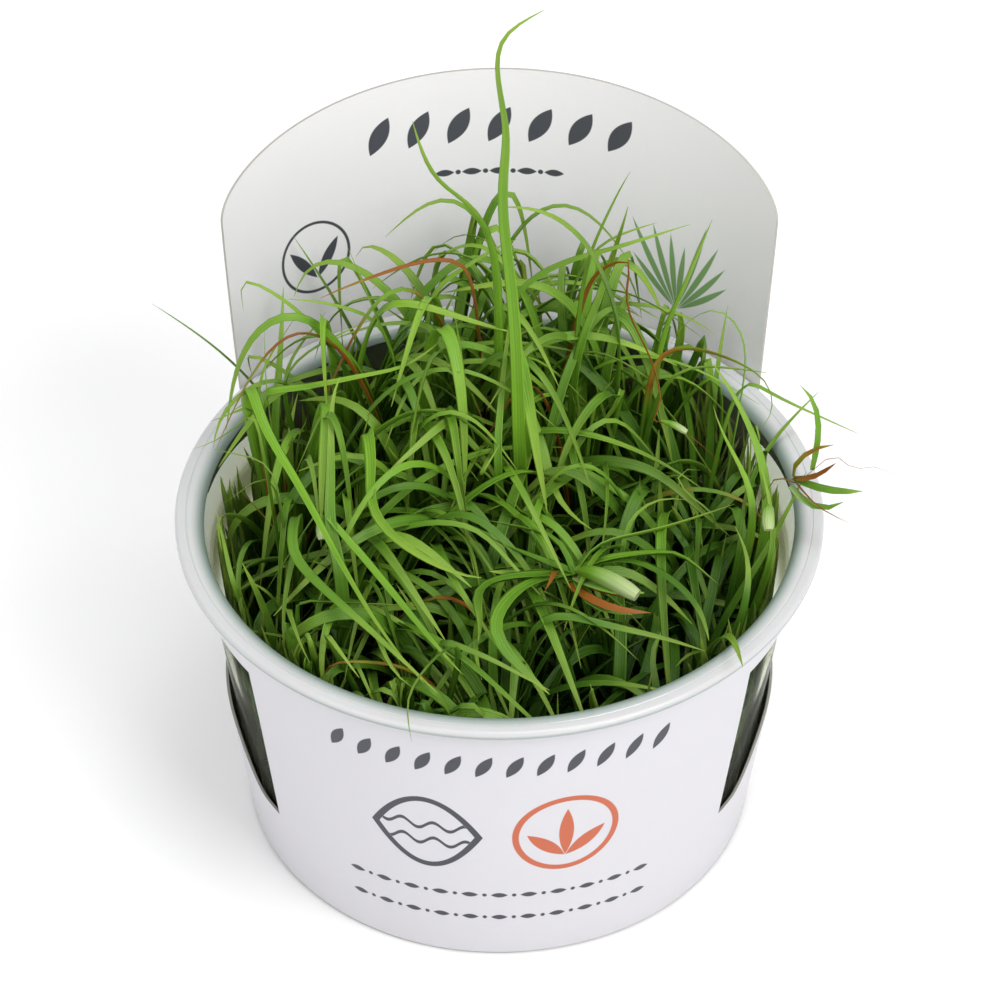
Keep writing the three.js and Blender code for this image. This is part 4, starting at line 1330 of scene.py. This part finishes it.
def blade_tree():
    """Sweeps a closed, folded blade along each line of points."""
    tree = bpy.data.node_groups.new("Leaf blades", "GeometryNodeTree")
    tree.is_modifier = True
    sockets = {
        "Geometry": "NodeSocketGeometry",
        "Ring spacing": "NodeSocketFloat",
        "Fold": "NodeSocketFloat",
        "Thickness": "NodeSocketFloat",
        "Sides": "NodeSocketInt",
        "Material": "NodeSocketMaterial",
    }
    for name, kind in sockets.items():
        tree.interface.new_socket(name, in_out="INPUT", socket_type=kind)
    tree.interface.new_socket("Geometry", in_out="OUTPUT", socket_type="NodeSocketGeometry")
    graph = Graph(tree)
    source = graph.add("NodeGroupInput").outputs

    def named(name, kind):
        node = graph.add("GeometryNodeInputNamedAttribute", {"Name": name}, data_type=kind)
        return node.outputs["Attribute"]

    line = graph.add("GeometryNodeMeshToCurve", {"Mesh": source["Geometry"]})
    curve = graph.add("GeometryNodeCurveSplineType", {"Curve": line.outputs[0]}, spline_type="CATMULL_ROM")
    rings = graph.add(
        "GeometryNodeResampleCurve",
        {"Curve": curve.outputs[0], "Length": source["Ring spacing"]},
        mode="LENGTH",
    )
    facing = graph.add(
        "GeometryNodeSetCurveNormal",
        {"Curve": rings.outputs[0], "Normal": named("facing", "FLOAT_VECTOR")},
        mode="FREE",
    )
    taper = graph.add("ShaderNodeFloatCurve", {"Value": named("along", "FLOAT")})
    points = taper.mapping.curves[0].points
    stops = ((0.0, 0.7), (0.25, 1.0), (0.6, 0.88), (0.85, 0.52), (1.0, 0.04))
    points[0].location, points[1].location = stops[0], stops[-1]
    for stop in stops[1:-1]:
        points.new(*stop)
    taper.mapping.update()
    size = Field(graph, taper.outputs[0]) * Field(graph, named("half_width", "FLOAT"))

    circle = graph.add("GeometryNodeCurvePrimitiveCircle", {"Resolution": source["Sides"], "Radius": 1.0})
    across, up, _ = graph.axes(graph.add("GeometryNodeInputPosition").outputs[0])
    height = up * Field(graph, source["Thickness"]) - (1.0 - abs(across)) * Field(graph, source["Fold"])
    profile = graph.add(
        "GeometryNodeSetPosition",
        {"Geometry": circle.outputs["Curve"], "Position": graph.vector(across, height)},
    )
    marked = graph.add(
        "GeometryNodeStoreNamedAttribute",
        {"Geometry": profile.outputs[0], "Name": "across", "Value": across},
        data_type="FLOAT",
    )
    swept = graph.add(
        "GeometryNodeCurveToMesh",
        {
            "Curve": facing.outputs[0],
            "Profile Curve": marked.outputs[0],
            "Scale": size,
            "Fill Caps": True,
        },
    )
    shaded = graph.add("GeometryNodeSetShadeSmooth", {0: swept.outputs[0]})
    dressed = graph.add(
        "GeometryNodeSetMaterial", {"Geometry": shaded.outputs[0], "Material": source["Material"]}
    )
    whole = graph.add("GeometryNodeRealizeInstances", {"Geometry": dressed.outputs[0]})
    sink = graph.add("NodeGroupOutput")
    graph.feed(sink.inputs["Geometry"], whole.outputs[0])
    return tree


def facings(path, twist):
    """The direction of a blade's width at each point of its path, turned steadily along it."""
    last = len(path) - 1
    reach = path[-1] - path[0]
    side = np.array((-reach[1], reach[0], 0.0))
    if np.linalg.norm(side) < 0.5:
        side = np.array((1.0, 0.0, 0.0))
    found = []
    for i in range(last + 1):
        along = path[min(i + 1, last)] - path[max(i - 1, 0)]
        along /= np.linalg.norm(along)
        side = side - side.dot(along) * along
        side /= np.linalg.norm(side)
        turn = twist * i / last
        found.append(side * math.cos(turn) + np.cross(along, side) * math.sin(turn))
    return found


def swept_blades(name, blades, section, material):
    """One mesh with a blade of the given cross-section swept along each path."""
    points, edges = [], []
    marks = {"along": [], "half_width": [], "tone": [], "russet": [], "pale": []}
    directions = []
    for blade in blades:
        path = eased(blade["points"], blade.get("easing", EASING_ROUNDS))
        first = len(points)
        points += list(path)
        edges += [(first + i, first + i + 1) for i in range(len(path) - 1)]
        directions += facings(path, blade["twist"])
        lengths = np.concatenate(((0,), np.cumsum(np.linalg.norm(np.diff(path, axis=0), axis=1))))
        marks["along"] += list(lengths / lengths[-1])
        marks["half_width"] += [MM * blade["width"] / 2] * len(path)
        for mark in ("tone", "russet", "pale"):
            marks[mark] += [blade[mark]] * len(path)
    lines = new_piece(name, points, [], edges=edges)
    mesh = lines.data
    for mark, values in marks.items():
        mesh.attributes.new(mark, "FLOAT", "POINT").data.foreach_set("value", values)
    facing = mesh.attributes.new("facing", "FLOAT_VECTOR", "POINT")
    facing.data.foreach_set("vector", np.array(directions, np.float32).ravel())
    tree = bpy.data.node_groups.get("Leaf blades") or blade_tree()
    modifier = lines.modifiers.new("Blades", "NODES")
    modifier.node_group = tree
    values = {**section, "Material": material}
    for item in tree.interface.items_tree:
        if item.in_out == "INPUT" and item.name in values:
            modifier[item.identifier] = values[item.name]
    depsgraph = bpy.context.evaluated_depsgraph_get()
    solid = bpy.data.meshes.new_from_object(lines.evaluated_get(depsgraph))
    bpy.data.objects.remove(lines)
    solid.name = name
    return linked(name, solid)


def joined(piece, other):
    """Joins another mesh into a piece."""
    with bpy.context.temp_override(active_object=piece, selected_editable_objects=[piece, other]):
        bpy.ops.object.join()


def leaf_material(settings):
    """A leaf: its height sets its green, darker low down as painted shade, its foot is pale, its tip yellow,
    and its veins run along it.
    """
    material, graph, shader = new_material("Rush leaf", {"Specular IOR Level": 0.3})
    along, across = graph.attribute("along"), graph.attribute("across")
    tone, russet, pale = (graph.attribute(name) for name in ("tone", "russet", "pale"))
    place = graph.own_place()
    height = graph.axes(place)[2]
    # Painted shade: leaves darken towards the bottom of the tuft
    lit_by_height = height.spread(*LEAF_SHADE_HEIGHTS)
    cloud = graph.noise(place, 140.0, 3.0)
    veins = graph.noise(graph.vector(across * 5.0, along * 6.0, tone * 60.0), 1.0)
    green = graph.mix(
        graph.math("ADD", tone * lit_by_height, (cloud - 0.5) * 0.3 + (veins - 0.5) * 0.4, clamp=True),
        opaque(settings.dark_tint),
        opaque(settings.bright_tint),
    )
    tip = (along + (cloud - 0.5) * 0.25).spread(0.72, 1.05) * 0.75
    green = graph.mix(tip, green, opaque(settings.tip_tint))
    sheath = height.spread(*PALE_HEIGHTS) * 0.8
    foot = graph.math("MAXIMUM", sheath, pale * along.spread(0.6, 0.0))
    green = graph.mix(foot, green, opaque(settings.sheath_tint))
    patches = (graph.noise(place, 90.0) + russet).spread(0.85, 1.1) * russet.spread(0.0, 0.3)
    green = graph.mix(graph.math("MULTIPLY", patches, 0.85, clamp=True), green, opaque(settings.russet_tint))
    coat(graph, shader, green, (across * 16.0).sine() * 0.5 + veins, relief=0.25)
    graph.feed(shader.inputs["Roughness"], cloud.spread(0.0, 1.0) * 0.2 + 0.32)
    return material


def plain_blade(width, points, twist=0.0, tone=0.0, russet=0.0, pale=0.0):
    return {"width": width, "points": points, "twist": twist, "tone": tone, "russet": russet, "pale": pale}


# Placed leaves with looks of their own: plantlet and leaf number, counted from one
LEAF_LOOKS = {
    (4, 2): {"width": 0.5, "russet": 0.6, "pale": 0.5, "easing": 1},
    (4, 6): {"width": 0.45, "russet": 0.6, "pale": 0.7, "easing": 1},
    (4, 3): {"russet": 0.55},
    (4, 4): {"russet": 0.5},
    (5, 1): {"width": 0.8, "pale": 0.3},
    (6, 1): {"tone": 1.0},
    (7, 2): {"width": 1.1, "russet": 0.8, "tone": 0.95, "easing": 1},
    (7, 3): {"tone": 1.0},
    (10, 1): {"tone": 0.95},
    (10, 2): {"tone": 0.95},
    (10, 3): {"russet": 0.4},
    (15, 1): {"russet": 0.3, "tone": 0.9},
    (15, 2): {"tone": 1.0},
    (15, 6): {"russet": 0.8},
    (18, 1): {"tone": 0.8},
    (18, 4): {"russet": 0.75},
    (23, 1): {"tone": 1.0},
}


def extra(owner, width, *route, tone=0.9, russet=0.0, pale=0.0):
    """A listed blade for the plantlet that owns it."""
    points = np.array(route, float)
    return {"owner": owner, **plain_blade(width, points, EXTRA_TWIST, tone, russet, pale)}


# Round buds and pale nodes that the solids don't have
BUDS = [
    extra(15, 2.6, (19.6, -21.8, 57.0), (16, -19.5, 57.9), (13, -17, 57.2), (11, -14, 54.6), pale=0.75),
    extra(4, 1.9, (38.6, -11.6, 60.4), (38.5, -10.4, 61.2), (38.7, -8.4, 61.4), (39, -6, 60), pale=0.7),
    extra(7, 1.1, (27.4, 6.4, 63.4), (26.4, 7.0, 63.7), (25.5, 7.6, 63.9), (23.6, 8.6, 63.8), pale=0.9),
    extra(10, 1.7, (-25.3, -13.2, 60.0), (-25.5, -12.0, 61.0), (-25.5, -10, 62.4), pale=0.95),
]

# Reddened leaves and broad old leaves that the solids don't have
EXTRA_BLADES = [
    extra(15, 2.4, (11, -15, 54.6), (14, -19, 57), (17, -21, 57.4), (20.6, -21, 56.8), pale=0.3),
    extra(15, 1.4, (10, -16, 54), (13, -21, 55.6), (17, -23.6, 55.8), (21.5, -23.4, 55.2), russet=0.9),
    extra(15, 1.2, (8, -12, 52), (8, -17, 58), (7.5, -20, 58.6), (6.5, -22, 58.2), russet=1.0),
    extra(4, 1.4, (42, -5, 63), (44, -7, 61.5), (47, -8.5, 61.4), (49.5, -8, 62.6), pale=0.35),
    extra(10, 2.8, (-31, 9, 14), (-29, 9, 48), (-25.5, 8.5, 68), (-24.6, 5, 70.8), (-25.4, -2, 67.2),
        (-25.6, -8, 63.6), (-25.4, -12, 61)),
    extra(12, 2.6, (-24, -21, 14), (-23, -15, 40), (-19, -9, 58), (-12, -13, 60), (-4, -20, 57)),
    extra(18, 3.0, (-1, 19, 14), (0, 16, 50), (1, 13, 74), (3, 8, 78), (5, 2, 66), (7, -3, 56)),
    extra(19, 2.8, (-13, 17, 14), (-12, 17, 52), (-10, 16, 76), (-7, 11, 80), (-5, 4, 70), (-5, -1, 58)),
    extra(9, 2.6, (-23, 23, 14), (-23, 20, 50), (-20, 18, 76), (-14, 17, 80), (-6, 15, 78), (2, 14, 76)),
    extra(17, 1.2, (12, 17, 14), (10, 15, 52), (5, 12, 72), (0, 9, 64), (-4, 6, 58), russet=0.9),
]


RED_CHANCE = 1 / 16
NARROW = 1.6


def dressed(blade, looks, draw):
    """Adds a blade's twist and colours. Some narrow leaves redden by chance."""
    reddens = next(draw) < RED_CHANCE and blade["width"] < NARROW
    chance = {
        "twist": swing(draw, 2 * FACING_TWIST),
        "tone": 0.45 + 0.55 * next(draw),
        "russet": 0.35 + 0.3 * next(draw) if reddens else 0.0,
        "pale": 0.0,
    }
    return {**chance, **blade, **looks}


# The way of an added leaf: shares of its reach, of its rise and of its drop
ADDED_STOPS = (
    (0, 0, 0), (0.05, 0.35, 0), (0.16, 0.68, 0), (0.36, 0.92, 0), (0.6, 1, 0), (0.82, 1, 0.35), (1, 1, 1),
)

# The tuft's height at the front, and what it gains towards the back and the left and loses to the right
CREST_FRONT = 53
CREST_BACK_GAIN = 27
CREST_LEFT_GAIN = 5
CREST_RIGHT_LOSS = 15

# Hollows in the tuft: the middle of each, and how far it reaches
HOLLOWS = (((12, -28), 11), ((28, 14), 10), ((-33, -15), 9), ((-12, 16), 5))
HOLLOW_DEPTH = 20


def crest_height(place):
    """How high the tuft stands at a place: low at the front and the right, high at the back, and sunk
    over the hollows."""
    x, y = place
    sunk = sum(HOLLOW_DEPTH * smooth(reach, 0, math.dist(place, middle)) for middle, reach in HOLLOWS)
    back = CREST_BACK_GAIN * smooth(-25, 24, y)
    left = CREST_LEFT_GAIN * smooth(4, -20, x)
    return CREST_FRONT + back + left - CREST_RIGHT_LOSS * smooth(10, 34, x) - sunk


def added_route(crown, kind, draw):
    """A leaf of the tuft that the solids don't have. An arching one climbs, leans over the others and
    droops towards its tip; an upright one stands among them. On the left they lean to the front, and at
    the back most of them reach the tuft's top."""
    x, y = crown
    droops = kind == "arching"
    sway = smooth(5, -30, x)
    heading = math.radians(-60) + swing(draw, math.pi * (2 - 1.3 * sway))
    reach = (18 + 26 * next(draw)) if droops else 9 * next(draw)
    drop = (3 + 20 * next(draw)) if droops else -4
    bow = swing(draw, 1.4 if droops else 0.5)
    ahead = level(heading)
    aside = np.array((-ahead[1], ahead[0], 0))
    top = min(crest_height(np.array(crown) + share * reach * ahead[:2]) for share in (0.2, 0.5, 0.8))
    short = 0.5 - 0.28 * smooth(-2, 20, y)
    rise = (top - LEAF_FOOT) * (1.04 - short * next(draw) ** 1.6 if droops else 0.5 + 0.35 * next(draw))
    route = []
    for along, up, fall in ADDED_STOPS:
        level_way = ahead * reach * along + aside * reach * bow * along**2
        route.append(np.array((x, y, LEAF_FOOT)) + level_way + (0, 0, rise * up - drop * fall))
    return np.array(route)


def wall_route(crown, draw, is_pressed):
    """A leaf that crosses to the cup's wall and climbs it, some way off or pressed to it."""
    x, y = crown
    facing = math.atan2(y, x) + swing(draw, math.radians(90))
    drift = swing(draw, math.radians(50))
    top = (43 + 11 * next(draw)) if is_pressed else (33 + 22 * next(draw))
    off = (0.5 + next(draw)) if is_pressed else (0.8 + 2.2 * next(draw))
    route = []
    for i in range(WALL_STEPS + 1):
        share = i / WALL_STEPS
        z = LEAF_FOOT + (top - LEAF_FOOT) * share
        turn = facing + drift * share
        at_wall = (cup_inner(z) - off) * level(turn)[:2]
        crossed = smooth(0, 0.45, share)
        route.append((*(np.array(crown) * (1 - crossed) + at_wall * crossed), z))
    return np.array(route)


def added_blade(crown, kind, draw):
    """A leaf of one of the added kinds. The points of its route are kept off the walls, out of the
    shafts and inside the cup's mouth."""
    narrow, wide = ADDED_WIDTHS[kind]
    width = narrow + (wide - narrow) * next(draw)
    if kind in ("outer", "pressed"):
        path = wall_route(crown, draw, kind == "pressed")
    else:
        path = added_route(crown, kind, draw)
    for i in range(1, len(path)):
        path[i] = kept(path[i], width / 2 + WALL_GAP)
        draw_in(path[i], cup_inner(CUP_HEIGHT) - width)
    return {"width": width, "points": path}


def eased(points, rounds):
    """The same route without its sudden bends: close samples, each drawn towards its neighbours."""
    path = samples_of(points, EASING_SAMPLES * (len(points) - 1))
    for _ in range(rounds):
        path[1:-1] = (path[:-2] + 2 * path[1:-1] + path[2:]) / 4
    return path


def sheath_blades(crown, draw):
    """Short wide sheaths that wrap the foot of a plantlet."""
    blades = []
    for i in range(SHEATHS):
        out = level(i * LEAF_TURN)
        foot = np.array((*crown, GEL_TOP + GAP + 0.3)) + 0.9 * out
        middle = foot + 0.9 * out + (0, 0, 0.45 * SHEATH_HEIGHT)
        end = foot + 1.6 * out + (0, 0, SHEATH_HEIGHT * (0.8 + 0.4 * next(draw)))
        points = np.array((foot, middle, end))
        blades.append(plain_blade(SHEATH_WIDTH, points, tone=0.6, russet=0.25 * next(draw), pale=0.75))
    return blades


class RUSHCUP_OT_plantlets(bpy.types.Operator):
    """Makes every plantlet: its leaves, the sheaths at its foot and its buds"""

    bl_idname = "rushcup.plantlets"
    bl_label = "Plantlets"

    def execute(self, context):
        settings = context.scene.rush_cup.leaves
        material = leaf_material(settings)
        section = {
            "Ring spacing": settings.spacing,
            "Fold": settings.fold,
            "Thickness": settings.thickness,
            "Sides": 8,
        }
        draw = drawer(SEED + 1)
        wall_draw = drawer(SEED + 3)
        for owner, blades in enumerate(lay_leaves()):
            crown = PLANTLETS[owner]["crown"]
            for kind in ("arching", "upright", "thin", "outer"):
                is_missing = kind == "outer" and abs(crown[0]) < OUTER_FROM
                count = 0 if is_missing else getattr(settings, kind)
                blades += [added_blade(crown, kind, draw) for _ in range(count)]
            looks = [LEAF_LOOKS.get((owner + 1, i + 1), {}) for i in range(len(blades))]
            whole = [dressed(blade, look, draw) for blade, look in zip(blades, looks)]
            if abs(crown[0]) >= OUTER_FROM:
                pressed = [added_blade(crown, "pressed", wall_draw) for _ in range(settings.pressed)]
                whole += [dressed(blade, {}, wall_draw) for blade in pressed]
            whole += [blade for blade in EXTRA_BLADES if blade["owner"] == owner + 1]
            whole += sheath_blades(crown, draw)
            piece = swept_blades(f"rush_plantlet_{owner + 1:02d}", whole, section, material)
            own_buds = [blade for blade in BUDS if blade["owner"] == owner + 1]
            if own_buds:
                joined(piece, swept_blades("buds", own_buds, ROUND_SECTION, material))
            keep_piece(piece, "leaf", f"plantlet_{owner + 1:02d}")
        return {"FINISHED"}


# Roots

ROOT_WIDTH = 0.34
ROOT_STEP = 1.8
ROOT_STEPS = 4
ROOT_LIE = 0.2


def root_route(crown, draw):
    """A root that leaves the crown's foot and wanders over the gel."""
    heading = 2 * math.pi * next(draw)
    lie = GEL_TOP + ROOT_LIE
    place = np.array((*crown, lie + 0.5))
    route = [place]
    for _ in range(ROOT_STEPS):
        heading += swing(draw, 1.2)
        place = place + ROOT_STEP * level(heading)
        draw_in(place, cup_inner(GEL_TOP) - 1)
        place[2] = lie
        route.append(place)
    return np.array(route)


class RUSHCUP_OT_roots(bpy.types.Operator):
    """Makes the thin pale roots of every plantlet"""

    bl_idname = "rushcup.roots"
    bl_label = "Roots"

    def execute(self, context):
        settings = context.scene.rush_cup.roots
        material = mottled_material(
            "Root", {"Roughness": 0.55, "Subsurface Weight": 0.1}, settings.root_tint,
            clouds=300.0, grain=2500.0, amount=0.4, relief=0.2, depth=0.0001,
        )
        draw = drawer(SEED + 2)
        for owner, plant in enumerate(PLANTLETS):
            routes = [root_route(plant["crown"], draw) for _ in range(settings.roots)]
            blades = [plain_blade(ROOT_WIDTH, route) for route in routes]
            piece = swept_blades(f"rush_roots_{owner + 1:02d}", blades, ROUND_SECTION, material)
            keep_piece(piece, "root")
        return {"FINISHED"}


# Stage

FLOOR_REACH = 2500
SENSOR_WIDTH = 36

# Places of the lamps and the camera's aim, in metres. A lamp has its place, its size and its power.
CAMERA_AIM = (0.0001, 0, 0.05585)
LAMPS_AIM = (0, 0, 0.05)
LAMPS = {
    "key": ((0.5, -0.5, 0.7), 0.5, 4.9),
    "top": ((0.1, 0.05, 0.9), 0.35, 2.0),
    "fill": ((-0.5, -0.6, 0.75), 0.7, 2.7),
}


def aimed(name, data, place, way):
    """A lamp or a camera that stands at a place and looks along a way."""
    item = linked(name, data)
    item.location = place
    item.rotation_euler = way.to_track_quat("-Z", "Y").to_euler()
    return item


class RUSHCUP_OT_stage(bpy.types.Operator):
    """Makes the floor, the soft lights and the camera"""

    bl_idname = "rushcup.stage"
    bl_label = "Stage"

    def execute(self, context):
        scene = context.scene
        settings = scene.rush_cup.stage
        scene.view_settings.view_transform = "Standard"
        material, graph, shader = new_material("Pale floor", {"Roughness": 0.7})
        tone = mottle(graph, opaque(settings.floor_tint), clouds=3.0, grain=60.0, amount=0.01)[0]
        graph.feed(shader.inputs["Base Color"], tone)
        corners = [(x * FLOOR_REACH, y * FLOOR_REACH, 0) for x, y in ((-1, -1), (1, -1), (1, 1), (-1, 1))]
        new_piece("floor", corners, [(0, 1, 2, 3)], [material])

        world = bpy.data.worlds.new("Soft studio")
        world.use_nodes = True
        background = world.node_tree.nodes["Background"]
        background.inputs["Color"].default_value = (1.0, 1.0, 1.0, 1.0)
        background.inputs["Strength"].default_value = settings.ambient
        scene.world = world
        for name, (place, size, power) in LAMPS.items():
            light = bpy.data.lights.new(name, "AREA")
            light.size = size
            light.energy = power
            aimed(name, light, place, Vector(LAMPS_AIM) - Vector(place))

        away = Vector((0, -math.cos(settings.elevation), math.sin(settings.elevation)))
        data = bpy.data.cameras.new("camera")
        data.lens = settings.lens
        data.sensor_width = SENSOR_WIDTH
        scene.camera = aimed("camera", data, Vector(CAMERA_AIM) + settings.distance * away, -away)
        return {"FINISHED"}


# Panel and registration


class RUSHCUP_PT_panel(bpy.types.Panel):
    """Lists the cup's pieces in the order they are made"""

    bl_idname = "RUSHCUP_PT_panel"
    bl_label = "Rush Cup"
    bl_space_type = "VIEW_3D"
    bl_region_type = "UI"
    bl_category = "Rush Cup"

    def draw(self, context):
        settings = context.scene.rush_cup
        for operator, group in STEPS.items():
            box = self.layout.box()
            box.operator(operator.bl_idname)
            own = getattr(settings, group)
            for name in own.__annotations__:
                box.prop(own, name)


STEPS = {
    RUSHCUP_OT_stage: "stage",
    RUSHCUP_OT_cup: "cup",
    RUSHCUP_OT_sleeve: "sleeve",
    RUSHCUP_OT_gel: "gel",
    RUSHCUP_OT_plantlets: "leaves",
    RUSHCUP_OT_roots: "roots",
}
CLASSES = (
    CupSettings, SleeveSettings, GelSettings, LeafSettings, RootSettings, StageSettings, RushCupSettings,
    *STEPS, RUSHCUP_PT_panel,
)


def register():
    for item in CLASSES:
        bpy.utils.register_class(item)
    bpy.types.Scene.rush_cup = PointerProperty(type=RushCupSettings)


def unregister():
    del bpy.types.Scene.rush_cup
    for item in reversed(CLASSES):
        bpy.utils.unregister_class(item)


def main():
    register()
    make_mottle_group()
    bpy.ops.rushcup.stage()
    bpy.ops.rushcup.cup()
    bpy.ops.rushcup.sleeve()
    bpy.ops.rushcup.gel()
    bpy.ops.rushcup.plantlets()
    bpy.ops.rushcup.roots()


if __name__ == "__main__":
    main()
